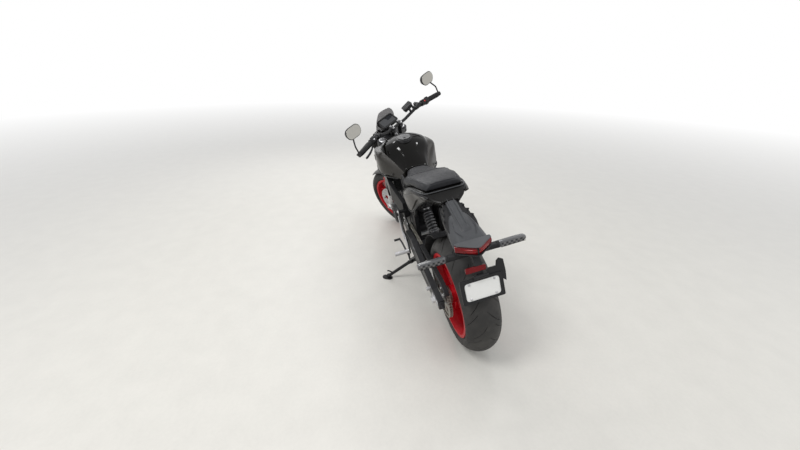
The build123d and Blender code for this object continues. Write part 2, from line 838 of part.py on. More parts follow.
# Rear plate bracket: arm, cross bar and plate frame, with the blank plate on it
plate_width = 168.0
plate_height = 90.0
plate_frame_width = 196.0
plate_frame_height = 112.0
plate_tilt = 12.0
indicator_z = 682.0
plate_reach = 48.0
plate_bearing = 37.7
bracket_ear = (
    (34, 50),
    (96, 50),
    (96, 20),
    (113, 6),
    (116, 50),
    (112, 107),
    (94, 117),
    (81, 108),
    (76, 86),
    (44, 86),
    (34, 78),
)
plate_middle = rear_hub + (rear_radius + plate_reach) * Vector(
    -cos(radians(plate_bearing)), 0, sin(radians(plate_bearing))
)
arm_points = [
    (plate_middle.X + ahead, plate_middle.Z + rise)
    for ahead, rise in ((22, 111), (11, 41), (21, 39), (34, 103))
]
plate_plane = Plane(
    origin=plate_middle,
    x_dir=(0, -1, 0),
    z_dir=(-cos(radians(plate_tilt)), 0, sin(radians(plate_tilt))),
)
with BuildPart() as plate_bracket:
    with BuildSketch(Plane.XZ.offset(-16)):
        with BuildLine():
            Polyline((-192, 714), (-219, 714), *arm_points, (-200, indicator_z - 10), close=True)
        make_face()
    extrude(amount=32)
    with BuildSketch(plate_plane.offset(-rest_gap)):
        RectangleRounded(plate_frame_width, plate_frame_height, 6)
        Rectangle(plate_width - 20, plate_height - 20, mode=Mode.SUBTRACT)
    extrude(amount=-9)
    with BuildSketch(plate_plane.offset(-rest_gap)):
        with BuildLine():
            Polyline(*bracket_ear, close=True)
        make_face()
    extrude(amount=-6)
    with BuildSketch(Plane.XZ.offset(112)):
        with Locations((-205, indicator_z)):
            RectangleRounded(30, 24, 6)
    extrude(amount=-224)
    add(tail_unit.part, mode=Mode.SUBTRACT)
chassis["plate_bracket"] = plate_bracket.part

with BuildPart() as number_plate:
    with BuildSketch(plate_plane):
        RectangleRounded(plate_width, plate_height, 5)
    extrude(amount=2)
    add(plate_bracket.part, mode=Mode.SUBTRACT)
chassis["number_plate"] = number_plate.part

with BuildPart() as rear_indicators:
    with BuildSketch(Plane.XZ.offset(-112 - rest_gap)):
        with Locations((-207, indicator_z)):
            RectangleRounded(30, 28, 7)
    extrude(amount=-138, taper=1)
    mirror(about=Plane.XZ)
chassis["rear_indicators"] = rear_indicators.part

with BuildPart() as rear_reflector:
    with BuildSketch(plate_plane.offset(2)):
        with Locations((-16, 97)):
            RectangleRounded(92, 24, 6)
    extrude(amount=-8)
    add(plate_bracket.part, mode=Mode.SUBTRACT)
chassis["rear_reflector"] = rear_reflector.part

# Rear shock
shock_low = Vector(member_rear + 60, 0, member_z + 43.5)
shock_high = shock_mount
shock_along = (shock_high - shock_low).normalized()
shock_length = (shock_high - shock_low).length
shock_plane = Plane(origin=shock_low, x_dir=(0, 1, 0), z_dir=shock_along)
with BuildPart() as rear_shock:
    with BuildSketch(shock_plane):
        Circle(14)
    extrude(amount=shock_length)
    for ring in range(7):
        with BuildSketch(shock_plane.offset(34 + 19 * ring)):
            Circle(34)
            Circle(13, mode=Mode.SUBTRACT)
        extrude(amount=10)
    add(main_frame.part, mode=Mode.SUBTRACT)
    add(swingarm.part, mode=Mode.SUBTRACT)
chassis["rear_shock"] = rear_shock.part

# Rear hugger over the front of the tyre
hugger_gap = 14.0
hugger_thick = 3.0
with BuildPart() as rear_hugger:
    with BuildSketch(Plane.XZ.offset(98)):
        with BuildLine():
            inner = CenterArc((0, rear_radius), rear_radius + hugger_gap, 8, 74)
            outer = CenterArc((0, rear_radius), rear_radius + hugger_gap + hugger_thick, 8, 74)
            Line(inner @ 0, outer @ 0)
            Line(inner @ 1, outer @ 1)
        make_face()
    extrude(amount=-196)
    with BuildSketch(Plane.XZ):
        with BuildLine():
            Polyline(
                (rear_radius + hugger_gap - 4, member_z - 36),
                (member_rear + 7, member_z - 36),
                (member_rear + 7, member_z + 10),
                (rear_radius + hugger_gap - 4, member_z + 10),
                close=True,
            )
        make_face()
    extrude(amount=60, both=True)
    add(swingarm.part, mode=Mode.SUBTRACT)
chassis["rear_hugger"] = rear_hugger.part

# Rear caliper over the top of the disc
caliper_angle = 50.0
caliper_centre = rear_hub + Vector(
    104 * cos(radians(caliper_angle)), 0, 104 * sin(radians(caliper_angle))
)
with BuildPart() as rear_caliper:
    with BuildSketch(
        Plane(
            origin=caliper_centre + Vector(0, rear_disc_y, 0),
            x_dir=(-sin(radians(caliper_angle)), 0, cos(radians(caliper_angle))),
            z_dir=(0, 1, 0),
        )
    ):
        RectangleRounded(86, 62, 12)
    extrude(amount=22, both=True)
    with BuildSketch(Plane(origin=rear_hub + Vector(0, rear_disc_y, 0), z_dir=(0, 1, 0))):
        Circle(rear_disc_radius + 3)
    extrude(amount=disc_width / 2 + 2.5, both=True, mode=Mode.SUBTRACT)
    with BuildSketch(Plane(origin=rear_hub + Vector(0, rear_disc_y, 0), z_dir=(0, 1, 0))):
        Circle(60)
    extrude(amount=22, both=True, mode=Mode.SUBTRACT)
    with BuildSketch(Plane.XZ.offset(112)):
        with BuildLine():
            CenterArc((0, rear_radius), 30, 0, 360)
            CenterArc((caliper_centre.X, caliper_centre.Z), 20, 0, 360)
        make_hull()
        with Locations((0, rear_radius)):
            Circle(20 + running_fit, mode=Mode.SUBTRACT)
    extrude(amount=6)
    with BuildSketch(Plane.XZ.offset(100)):
        with Locations((caliper_centre.X, caliper_centre.Z)):
            Circle(15)
    extrude(amount=13)
chassis["rear_caliper"] = rear_caliper.part

# Footrest hangers with their pegs and pedals
hanger_outline = (
    (596, 590),
    (640, 580),
    (600, 470),
    (520, 372),
    (486, 330),
    (462, 330),
    (458, 372),
    (530, 452),
)
peg_z = 350.0
peg_x = laid(476.0)
with BuildPart() as footrests:
    with BuildSketch(Plane.XZ.offset(-162)):
        with BuildLine():
            Polyline(*laid_rows(hanger_outline), close=True)
        make_face()
    extrude(amount=-8)
    with BuildSketch(Plane(origin=(laid(630), 112, 560), z_dir=(0, 1, 0))):
        Circle(12)
    extrude(amount=51)
    with BuildSketch(Plane(origin=(peg_x, 170, peg_z), z_dir=(0, 1, 0))):
        Circle(12)
    extrude(amount=95)
    mirror(about=Plane.XZ)
    add(main_frame.part, mode=Mode.SUBTRACT)
chassis["footrests"] = footrests.part

# Steering: yokes and stem
with BuildPart() as yokes:
    for height in (lower_yoke, upper_yoke):
        with BuildSketch(steer_plane.offset(height)):
            with BuildLine():
                CenterArc((0, 0), 34, 0, 360)
                for side in (-1, 1):
                    CenterArc((fork_offset, side * fork_half), fork_tube_radius + 12, 0, 360)
            make_hull()
            with Locations((fork_offset, fork_half), (fork_offset, -fork_half)):
                Circle(fork_tube_radius + running_fit, mode=Mode.SUBTRACT)
        extrude(amount=yoke_width)
    with BuildSketch(steer_plane.offset(lower_yoke)):
        with Locations((fork_offset + 44, 0)):
            Rectangle(12, 90)
    extrude(amount=upper_yoke - lower_yoke + yoke_width)
    with BuildSketch(steer_plane.offset(lower_yoke)):
        Circle(stem_radius)
    extrude(amount=upper_yoke - lower_yoke + yoke_width)
steering["yokes"] = yokes.part

# Fork tubes and sliders
slider_top = 560.0
with BuildPart() as fork_tubes:
    with BuildSketch(steer_plane.offset(slider_top)):
        with Locations((fork_offset, fork_half), (fork_offset, -fork_half)):
            Circle(fork_tube_radius)
    extrude(amount=upper_yoke + yoke_width + 6 - slider_top)
steering["fork_tubes"] = fork_tubes.part

axle_lug = 34.0
with BuildPart() as fork_sliders:
    with BuildSketch(steer_plane.offset(axle_height)):
        with Locations((fork_offset, fork_half), (fork_offset, -fork_half)):
            Circle(fork_slider_radius)
    extrude(amount=slider_top - rest_gap - axle_height)
    for side in (-1, 1):
        with BuildSketch(
            Plane(origin=front_hub + Vector(0, side * fork_half - 22, 0), z_dir=(0, 1, 0))
        ):
            Circle(axle_lug)
        extrude(amount=44)
    with BuildSketch(Plane(origin=front_hub - Vector(0, fork_half + 40, 0), z_dir=(0, 1, 0))):
        Circle(front_axle_radius)
    extrude(amount=2 * fork_half + 80)
steering["fork_sliders"] = fork_sliders.part

# Front calipers
with BuildPart() as front_calipers:
    with BuildSketch(
        Plane(
            origin=front_hub + Vector(-118, front_disc_y, 44),
            x_dir=(0.35, 0, 0.94),
            z_dir=(0, 1, 0),
        )
    ):
        RectangleRounded(104, 64, 14)
    extrude(amount=27, both=True)
    with BuildSketch(Plane(origin=front_hub + Vector(0, front_disc_y, 0), z_dir=(0, 1, 0))):
        Circle(front_disc_radius + 3)
    extrude(amount=disc_width / 2 + 2.5, both=True, mode=Mode.SUBTRACT)
    with BuildSketch(Plane(origin=front_hub + Vector(0, front_disc_y + 26, 0), x_dir=(1, 0, 0), z_dir=(0, 1, 0))):
        with BuildLine():
            CenterArc((-118, -44), 18, 0, 360)
            CenterArc((-90 * sin(radians(rake)), -90 * cos(radians(rake))), 14, 0, 360)
        make_hull()
    extrude(amount=10)
    mirror(about=Plane.XZ)
    add(fork_sliders.part, mode=Mode.SUBTRACT)
steering["front_calipers"] = front_calipers.part

# Front fender
fender_gap = 16.0
with BuildPart() as front_fender:
    with BuildSketch(Plane.XZ.offset(68)):
        with BuildLine():
            inner = CenterArc((wheelbase, front_radius), front_radius + fender_gap, 62, 100)
            outer = CenterArc((wheelbase, front_radius), front_radius + fender_gap + 3, 62, 100)
            Line(inner @ 0, outer @ 0)
            Line(inner @ 1, outer @ 1)
        make_face()
    extrude(amount=-136)
    for side in (-1, 1):
        with BuildSketch(steer_plane.offset(axle_height + front_radius + fender_gap - 22)):
            with Locations((fork_offset, side * (64 + fork_half - fork_tube_radius - rest_gap) / 2)):
                Rectangle(46, fork_half - fork_tube_radius - rest_gap - 64)
        extrude(amount=44)
steering["front_fender"] = front_fender.part

# Handlebar on its risers
riser_lead = -17.1
riser_top = neck_middle + 202.7
bar_middle = steer_place(riser_lead, 90, riser_top)
bar_bend = steer_place(-46.4, 228, neck_middle + 262.8)
bar_end = steer_place(-79.1, bar_end_y, neck_middle + 263.7)
riser_y = 40.0
riser_radius = 16.0
bar_route = [bar_end, bar_bend, bar_middle]
bar_route += [Vector(point.X, -point.Y, point.Z) for point in reversed(bar_route)]
with BuildPart() as handlebar:
    with BuildLine() as bar_line:
        FilletPolyline(*bar_route, radius=60)
    with BuildSketch(Plane(bar_line.line @ 0, z_dir=bar_line.line % 0)):
        Circle(bar_radius)
    sweep(path=bar_line.line)
    with BuildSketch(steer_plane.offset(upper_yoke + yoke_width + rest_gap)):
        with Locations((riser_lead, riser_y), (riser_lead, -riser_y)):
            Circle(riser_radius)
    extrude(amount=riser_top - upper_yoke - yoke_width - rest_gap)
steering["handlebar"] = handlebar.part

# Grips
grip_direction = (bar_bend - bar_end).normalized()
with BuildPart() as grips:
    with BuildSketch(Plane(origin=bar_end, z_dir=grip_direction)):
        Circle(grip_radius)
        Circle(bar_radius + rest_gap, mode=Mode.SUBTRACT)
    extrude(amount=grip_length)
    mirror(about=Plane.XZ)
steering["grips"] = grips.part

# Switch pods with the levers
with BuildPart() as controls:
    with BuildSketch(
        Plane(origin=bar_end + grip_direction * (grip_length + 2), z_dir=grip_direction)
    ):
        Circle(22)
        Circle(bar_radius + rest_gap, mode=Mode.SUBTRACT)
    extrude(amount=38)
    with BuildLine() as lever_line:
        FilletPolyline(
            bar_end + Vector(42, -151, 9),
            bar_end + Vector(70, -121, 3),
            bar_end + Vector(52, -1, -13),
            radius=12,
        )
    with BuildSketch(Plane(lever_line.line @ 0, z_dir=lever_line.line % 0)):
        Circle(6)
    sweep(path=lever_line.line)
    mirror(about=Plane.XZ)
steering["controls"] = controls.part

# Mirrors on the bar ends
mirror_centre = bar_end + Vector(12, -34, 139)
with BuildPart() as mirrors:
    with BuildSketch(Plane(origin=bar_end, z_dir=-grip_direction).offset(rest_gap)):
        Circle(15)
    extrude(amount=18)
    with BuildLine() as stem_line:
        FilletPolyline(
            bar_end + Vector(0, 9, 11),
            bar_end + Vector(4, 9, 57),
            bar_end + Vector(28, -21, 117),
            radius=30,
        )
    with BuildSketch(Plane(stem_line.line @ 0, z_dir=stem_line.line % 0)):
        Circle(5)
    sweep(path=stem_line.line)
    with BuildSketch(Plane(origin=mirror_centre + Vector(2, 0, 0), x_dir=(0, 1, 0), z_dir=(1, 0, 0))):
        SlotOverall(124, 80)
    extrude(amount=24, taper=20)
    mirror(about=Plane.XZ)
steering["mirrors"] = mirrors.part

with BuildPart() as mirror_glass:
    with BuildSketch(Plane(origin=mirror_centre - Vector(1.3, 0, 0), x_dir=(0, 1, 0), z_dir=(1, 0, 0))):
        SlotOverall(116, 72)
    extrude(amount=3)
    mirror(about=Plane.XZ)
steering["mirror_glass"] = mirror_glass.part

# Headlamp with lens
lamp_back = steer_place(79.2, 0, neck_middle + 21)
lamp_plane = Plane(origin=lamp_back, x_dir=(0, 1, 0), z_dir=(1, 0, 0))
lamp_top = 50.0
screen_foot = 95.0
with BuildPart() as headlamp:
    for offset, radius in ((0, 56), (40, 84), (86, 92)):
        with BuildSketch(lamp_plane.offset(offset)):
            Circle(radius)
    loft()
    with BuildSketch(lamp_plane.offset(4)):
        Circle(24)
    extrude(amount=-32)
    with BuildSketch(Plane.XY.offset(lamp_back.Z + lamp_top)):
        with Locations((lamp_back.X + 20, 0)):
            Rectangle(20, 60)
    extrude(amount=screen_foot - rest_gap - lamp_top)
    add(yokes.part, mode=Mode.SUBTRACT)
steering["headlamp"] = headlamp.part

with BuildPart() as headlamp_lens:
    with BuildSketch(lamp_plane.offset(86 + rest_gap)):
        Circle(86)
    extrude(amount=14, taper=30)
steering["headlamp_lens"] = headlamp_lens.part

# Dash and flyscreen
dash_height = neck_middle + 190.8
dash_back = steer_place(70.1, 0, dash_height)
with BuildPart() as dash:
    with BuildSketch(Plane(origin=dash_back, x_dir=(0, 1, 0), z_dir=(-0.6, 0, 0.8))):
        RectangleRounded(150, 84, 18)
    extrude(amount=24)
    with BuildSketch(steer_plane.offset(upper_yoke + yoke_width + rest_gap)):
        with Locations((fork_offset + 44, 0)):
            Rectangle(12, 44)
    extrude(amount=dash_height + 2.5 - upper_yoke - yoke_width - rest_gap)
steering["dash"] = dash.part

screen_rows = (
    # ahead of the lamp's back, half width, above its middle
    (30, 92, screen_foot),
    (0, 96, 150),
    (-36, 84, 205),
    (-62, 56, 242),
)
with BuildPart() as flyscreen:
    for ahead, half, rise in screen_rows:
        with BuildSketch(Plane.XY.offset(lamp_back.Z + rise)):
            with BuildLine():
                x = lamp_back.X + ahead
                edge = x - 0.6 * half
                ThreePointArc((edge, half), (x, 0), (edge, -half))
                ThreePointArc((edge - 3, -half), (x - 3, 0), (edge - 3, half))
                Line((edge, half), (edge - 3, half))
                Line((edge, -half), (edge - 3, -half))
            make_face()
    loft()
steering["flyscreen"] = flyscreen.part

# Side stand, made as it stands on the floor
pivot_at = parked_point(stand_pivot)
leg_reach = Vector(stand_foot_reach.X, stand_foot_reach.Y, -pivot_at.Z + 12)
leg_down = leg_reach.normalized()
leg_stowed = Vector(-0.97, 0.17, 0.10).normalized()
stand_axis = leg_down.cross(leg_stowed).normalized()
stand_travel = leg_down.get_angle(leg_stowed)
stand_plane = Plane(origin=pivot_at, x_dir=leg_down, z_dir=stand_axis)
tang_half = 6.0
cheek = 6.0
with BuildPart() as side_stand:
    for offset in (-tang_half - rest_gap - cheek, tang_half + rest_gap):
        with BuildSketch(stand_plane.offset(offset)):
            Circle(18)
            with Locations((22, 0)):
                Rectangle(44, 26)
        extrude(amount=cheek)
    with BuildSketch(stand_plane.offset(-tang_half - rest_gap - cheek)):
        with Locations((38, 0)):
            Rectangle(16, 26)
    extrude(amount=2 * (tang_half + rest_gap + cheek))
    with BuildSketch(stand_plane.offset(-tang_half - rest_gap - cheek)):
        Circle(stand_pin_radius)
    extrude(amount=2 * (tang_half + rest_gap + cheek))
    with BuildSketch(Plane(origin=pivot_at + leg_down * 38, z_dir=leg_down)):
        Circle(stand_leg_radius)
    extrude(amount=leg_reach.length - 38)
    foot_at = pivot_at + leg_reach
    with BuildSketch(Plane(origin=(foot_at.X, foot_at.Y, 0), x_dir=(leg_down.X, leg_down.Y, 0), z_dir=(0, 0, 1))):
        with Locations((2, 0)):
            SlotOverall(72, 44)
    extrude(amount=8)
    with BuildSketch(Plane(origin=(0, 0, 0), z_dir=(0, 0, -1))):
        Rectangle(3000, 3000)
    extrude(amount=60, mode=Mode.SUBTRACT)

# Stand bracket: a flat tang at the pivot and a forged stem up to the frame's left pivot plate
tang_back = -(leg_down + leg_stowed).normalized()
tang_length = 52.0
tang_radius = 19.0
stem_foot = pivot_at + tang_back * tang_length
stem_head = parked_point(Vector(laid(540), 79, 360))
with BuildPart() as stand_bracket:
    with BuildSketch(Plane(origin=pivot_at, x_dir=tang_back, z_dir=stand_axis).offset(-tang_half)):
        with BuildLine():
            CenterArc((0, 0), tang_radius, 0, 360)
            CenterArc((tang_length, 0), tang_radius - 3, 0, 360)
        make_hull()
        Circle(stand_pin_radius + running_fit, mode=Mode.SUBTRACT)
    extrude(amount=2 * tang_half)
    with BuildSketch(Plane(origin=stem_foot, z_dir=stem_head - stem_foot).offset(-6)):
        Circle(12.5)
    extrude(amount=(stem_head - stem_foot).length + 6)
    add(parked(main_frame.part), mode=Mode.SUBTRACT)

# Steer, lean and set down every piece, then centre the whole on the floor
pieces = {}
for name, shape in {**chassis, **rear_wheel, **fuel_cap_body}.items():
    pieces[name] = parked(shape)
for name, shape in {**steering, **front_wheel}.items():
    pieces[name] = parked(shape.rotate(steer_axis, steer_lock))
pieces["side_stand"] = side_stand.part
pieces["stand_bracket"] = stand_bracket.part

low = Vector(1e9, 1e9, 1e9)
high = Vector(-1e9, -1e9, -1e9)
for shape in pieces.values():
    box = shape.bounding_box()
    low = Vector(min(low.X, box.min.X), min(low.Y, box.min.Y), min(low.Z, box.min.Z))
    high = Vector(max(high.X, box.max.X), max(high.Y, box.max.Y), max(high.Z, box.max.Z))
centring = Vector(-(low.X + high.X) / 2, -(low.Y + high.Y) / 2, -low.Z)

os.makedirs("parts", exist_ok=True)
for name, shape in pieces.items():
    piece = shape.translate(centring)
    piece.label = name
    export_step(piece, f"parts/{name}.step")
print("size", high - low, "pitch", nose_pitch, "rear hub", parked_point(rear_hub) + centring)
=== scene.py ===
import json
import math

import bmesh
import bpy
from mathutils import Matrix, Vector
from mathutils.bvhtree import BVHTree


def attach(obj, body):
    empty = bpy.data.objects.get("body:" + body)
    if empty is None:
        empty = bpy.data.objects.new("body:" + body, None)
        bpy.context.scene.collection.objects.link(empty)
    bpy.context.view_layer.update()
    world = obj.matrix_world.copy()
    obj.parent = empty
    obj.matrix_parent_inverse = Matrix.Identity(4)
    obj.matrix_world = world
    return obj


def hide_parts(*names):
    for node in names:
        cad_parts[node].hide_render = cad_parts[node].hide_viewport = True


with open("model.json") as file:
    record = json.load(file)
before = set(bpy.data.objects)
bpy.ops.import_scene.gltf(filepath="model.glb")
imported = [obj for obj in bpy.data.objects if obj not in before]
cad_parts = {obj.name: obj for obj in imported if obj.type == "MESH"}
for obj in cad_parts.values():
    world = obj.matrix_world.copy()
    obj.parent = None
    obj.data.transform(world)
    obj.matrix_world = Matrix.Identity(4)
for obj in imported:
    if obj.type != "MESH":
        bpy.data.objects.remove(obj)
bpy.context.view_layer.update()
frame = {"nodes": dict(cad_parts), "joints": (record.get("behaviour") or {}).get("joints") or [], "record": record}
node = frame["nodes"]
joint = {j["name"]: j for j in frame["joints"]}

# Places are written in millimetres as the motorcycle stands upright and straight ahead,
# with the floor point below the rear axle as origin. PARK leans a place with the chassis,
# and STEER turns it with the fork first.
LEAN = math.radians(12.0)
PITCH = math.radians(0.36234)
LOCK = math.radians(33.0)
RAKE = math.radians(25.0)
WHEELBASE = 1480.0
REAR_RADIUS, FRONT_RADIUS, BEAD_RADIUS = 316.0, 300.0, 216.3
REAR_HUB = Vector((0, 0, REAR_RADIUS))
FRONT_HUB = Vector((WHEELBASE, 0, FRONT_RADIUS))
SPROCKET_HUB = Vector((600, 0, 420))
REAR_DISC_Y, FRONT_DISC_Y = 80.5, 64.0
FORK_AHEAD, FORK_Y = 31.6, 105
STEER_FOOT = Vector((1585, 0, 0))
UP = Vector((-math.sin(RAKE), 0, math.cos(RAKE)))
AHEAD = Vector((math.cos(RAKE), 0, math.sin(RAKE)))
LEFT = Vector((0, 1, 0))
FORE = Vector((1, 0, 0))
SKY = Vector((0, 0, 1))
BOTH = (1, -1)  # the left and right sides
turned = Matrix.Rotation(-LEAN, 4, "X") @ Matrix.Rotation(PITCH, 4, "Y")
hub_now = Vector(joint["rear_wheel_spin"]["pos_m"])
PARK = Matrix.Translation(hub_now - turned @ (REAR_HUB / 1000)) @ turned @ Matrix.Scale(0.001, 4)
STEER = (
    PARK
    @ Matrix.Translation(STEER_FOOT)
    @ Matrix.Rotation(LOCK, 4, UP)
    @ Matrix.Translation(-STEER_FOOT)
)
PLACE = {
    "chassis": PARK, "rear_wheel": PARK, "fuel_cap": PARK, "steering": STEER, "front_wheel": STEER
}
WORLD = Matrix.Scale(0.001, 4)


def rect(half_x, half_y):
    """The corners of a rectangle about the origin."""
    return [(-half_x, -half_y), (half_x, -half_y), (half_x, half_y), (-half_x, half_y)]


def bearing(a):
    """The direction a radians above straight ahead."""
    return Vector((math.cos(a), 0, math.sin(a)))


def spoke(a):
    """The direction a radians ahead of straight up."""
    return Vector((math.sin(a), 0, math.cos(a)))


def forkpoint(ahead, y, height):
    """A place given ahead of the steering axis, to the left, and up along that axis."""
    return STEER_FOOT + AHEAD * ahead + LEFT * y + UP * height


# Materials.


def link(tree, a, b):
    tree.links.new(a, b)


def added(tree, kind, **numbers):
    """A new shader node with its inputs set by name, where _ stands for a space."""
    n = tree.nodes.new("ShaderNode" + kind)
    for key, number in numbers.items():
        n.inputs[key.replace("_", " ")].default_value = number
    return n


def noise_of(tree, coords, scale, detail):
    n = added(tree, "TexNoise", Scale=scale, Detail=detail, Roughness=0.55)
    link(tree, coords, n.inputs["Vector"])
    return n.outputs["Fac"]


def ranged(tree, value, low, high, to_low, to_high):
    n = added(tree, "MapRange", From_Min=low, From_Max=high, To_Min=to_low, To_Max=to_high)
    link(tree, value, n.inputs["Value"])
    return n.outputs["Result"]


def math_of(tree, op, a, b):
    n = added(tree, "Math")
    n.operation = op
    for i, v in enumerate((a, b)):
        if isinstance(v, (int, float)):
            n.inputs[i].default_value = v
        else:
            link(tree, v, n.inputs[i])
    return n.outputs[0]


def weighed(tree, a, share_a, b, share_b):
    """The sum of two values, each times its share."""
    first = math_of(tree, "MULTIPLY", a, share_a)
    return math_of(tree, "ADD", first, math_of(tree, "MULTIPLY", b, share_b))


def mixed(tree, factor, a, b):
    n = added(tree, "Mix")
    n.data_type = "RGBA"
    link(tree, factor, n.inputs[0])
    for socket, colour in ((n.inputs[6], a), (n.inputs[7], b)):
        if isinstance(colour, tuple):
            socket.default_value = (*colour[:3], 1)
        else:
            link(tree, colour, socket)
    return n.outputs[2]


def vector_math(tree, kind, first, second=None):
    """A vector calculation. The second term is a socket, a constant or nothing."""
    n = added(tree, "VectorMath")
    n.operation = kind
    link(tree, first, n.inputs[0])
    if isinstance(second, tuple):
        n.inputs[1].default_value = second
    elif second:
        link(tree, second, n.inputs[1])
    return n.outputs["Value" if kind in ("DOT_PRODUCT", "LENGTH") else "Vector"]


def bevel_normal(tree, radius):
    n = added(tree, "Bevel", Radius=radius)
    n.samples = 4
    return n.outputs["Normal"]


def shader_mix(tree, factor, first, second):
    n = added(tree, "MixShader")
    for i, socket in enumerate((factor, first, second)):
        link(tree, socket, n.inputs[i])
    return n.outputs[0]


def seen_clearly(tree):
    """1 for camera, transmission and glossy rays, else 0."""
    rays = added(tree, "LightPath").outputs
    seen = math_of(tree, "MAXIMUM", rays["Is Camera Ray"], rays["Is Transmission Ray"])
    return math_of(tree, "MAXIMUM", seen, rays["Is Glossy Ray"])


def shade(colour, k):
    return tuple(min(1.0, c * k) for c in colour)


# Noise scales are in repeats a metre, radii in metres.
BROAD_SCALE, MIDDLE_SCALE, BRUSH_SCALE = 7.0, 60.0, 620.0
WEAR_RADIUS = 0.0012
DUST = (0.30, 0.28, 0.25)


def material(
    name, colour, rough, metal=0.0, coat=0.0, sheen=0.0, grain=1400.0, depth=0.00006, spread=0.14,
    worn=None, wear=0.0, cells=0.0, brushed=None, transmit=0.0, alpha=1.0, soft_edge=0.0012,
    dust=0.0, streak=None, specular=0.4,
):
    """One finish: its colour varies a little, its edges wear, its gloss and relief have a grain."""
    m = bpy.data.materials.new(name)
    m.use_nodes = True
    tree = m.node_tree
    bsdf = tree.nodes["Principled BSDF"]
    where = added(tree, "TexCoord").outputs["Object"]
    broad = noise_of(tree, where, BROAD_SCALE, 5.0)
    middle = noise_of(tree, where, MIDDLE_SCALE, 6.0)
    fine = noise_of(tree, where, grain, 3.0)
    tone = weighed(tree, broad, 0.6, middle, 0.4)
    share = ranged(tree, tone, 0.35, 0.65, 0.0, 1.0)
    colour_out = mixed(tree, share, shade(colour, 1 - spread), shade(colour, 1 + spread))
    if wear:
        flat_normal = added(tree, "NewGeometry").outputs["Normal"]
        bend = vector_math(tree, "DOT_PRODUCT", bevel_normal(tree, WEAR_RADIUS), flat_normal)
        edge = ranged(tree, bend, 0.995, 0.9, 0.0, wear)
        edge = math_of(tree, "MULTIPLY", edge, ranged(tree, middle, 0.42, 0.62, 0.0, 1.0))
        colour_out = mixed(tree, edge, colour_out, worn or shade(colour, 3.0))
    if dust:
        lie = ranged(tree, broad, 0.45, 0.75, 0.0, dust)
        lie = math_of(tree, "MULTIPLY", lie, ranged(tree, middle, 0.3, 0.7, 0.3, 1.0))
        colour_out = mixed(tree, lie, colour_out, DUST)
    link(tree, colour_out, bsdf.inputs["Base Color"])
    gloss = ranged(tree, middle, 0.3, 0.7, rough * 0.82, min(1.0, rough * 1.18))
    link(tree, gloss, bsdf.inputs["Roughness"])
    for key, number in (
        ("Metallic", metal), ("Specular IOR Level", specular), ("Coat Weight", coat),
        ("Coat Roughness", 0.04), ("Sheen Weight", sheen), ("Transmission Weight", transmit),
        ("Alpha", alpha),
    ):
        bsdf.inputs[key].default_value = number
    height = fine
    if cells:
        v = added(tree, "TexVoronoi", Scale=cells)
        v.feature = "SMOOTH_F1"
        link(tree, where, v.inputs["Vector"])
        height = weighed(tree, v.outputs["Distance"], 1.4, fine, 0.35)
    if brushed:
        centre, axis = brushed
        from_centre = vector_math(tree, "SUBTRACT", where, centre)
        from_axis = vector_math(tree, "CROSS_PRODUCT", from_centre, axis)
        turns = added(tree, "TexNoise", Scale=BRUSH_SCALE, Detail=4.0)
        turns.noise_dimensions = "1D"
        link(tree, vector_math(tree, "LENGTH", from_axis), turns.inputs["W"])
        height = turns.outputs["Fac"]
        gloss = ranged(tree, height, 0.3, 0.7, rough * 0.7, rough * 1.3)
        link(tree, gloss, bsdf.inputs["Roughness"])
    if streak:
        stretch = added(tree, "Mapping", Scale=streak)
        link(tree, where, stretch.inputs["Vector"])
        height = noise_of(tree, stretch.outputs[0], 300.0, 4.0)
    bump = added(tree, "Bump", Strength=0.5, Distance=depth)
    link(tree, height, bump.inputs["Height"])
    if soft_edge:
        link(tree, bevel_normal(tree, soft_edge), bump.inputs["Normal"])
    link(tree, bump.outputs["Normal"], bsdf.inputs["Normal"])
    return m


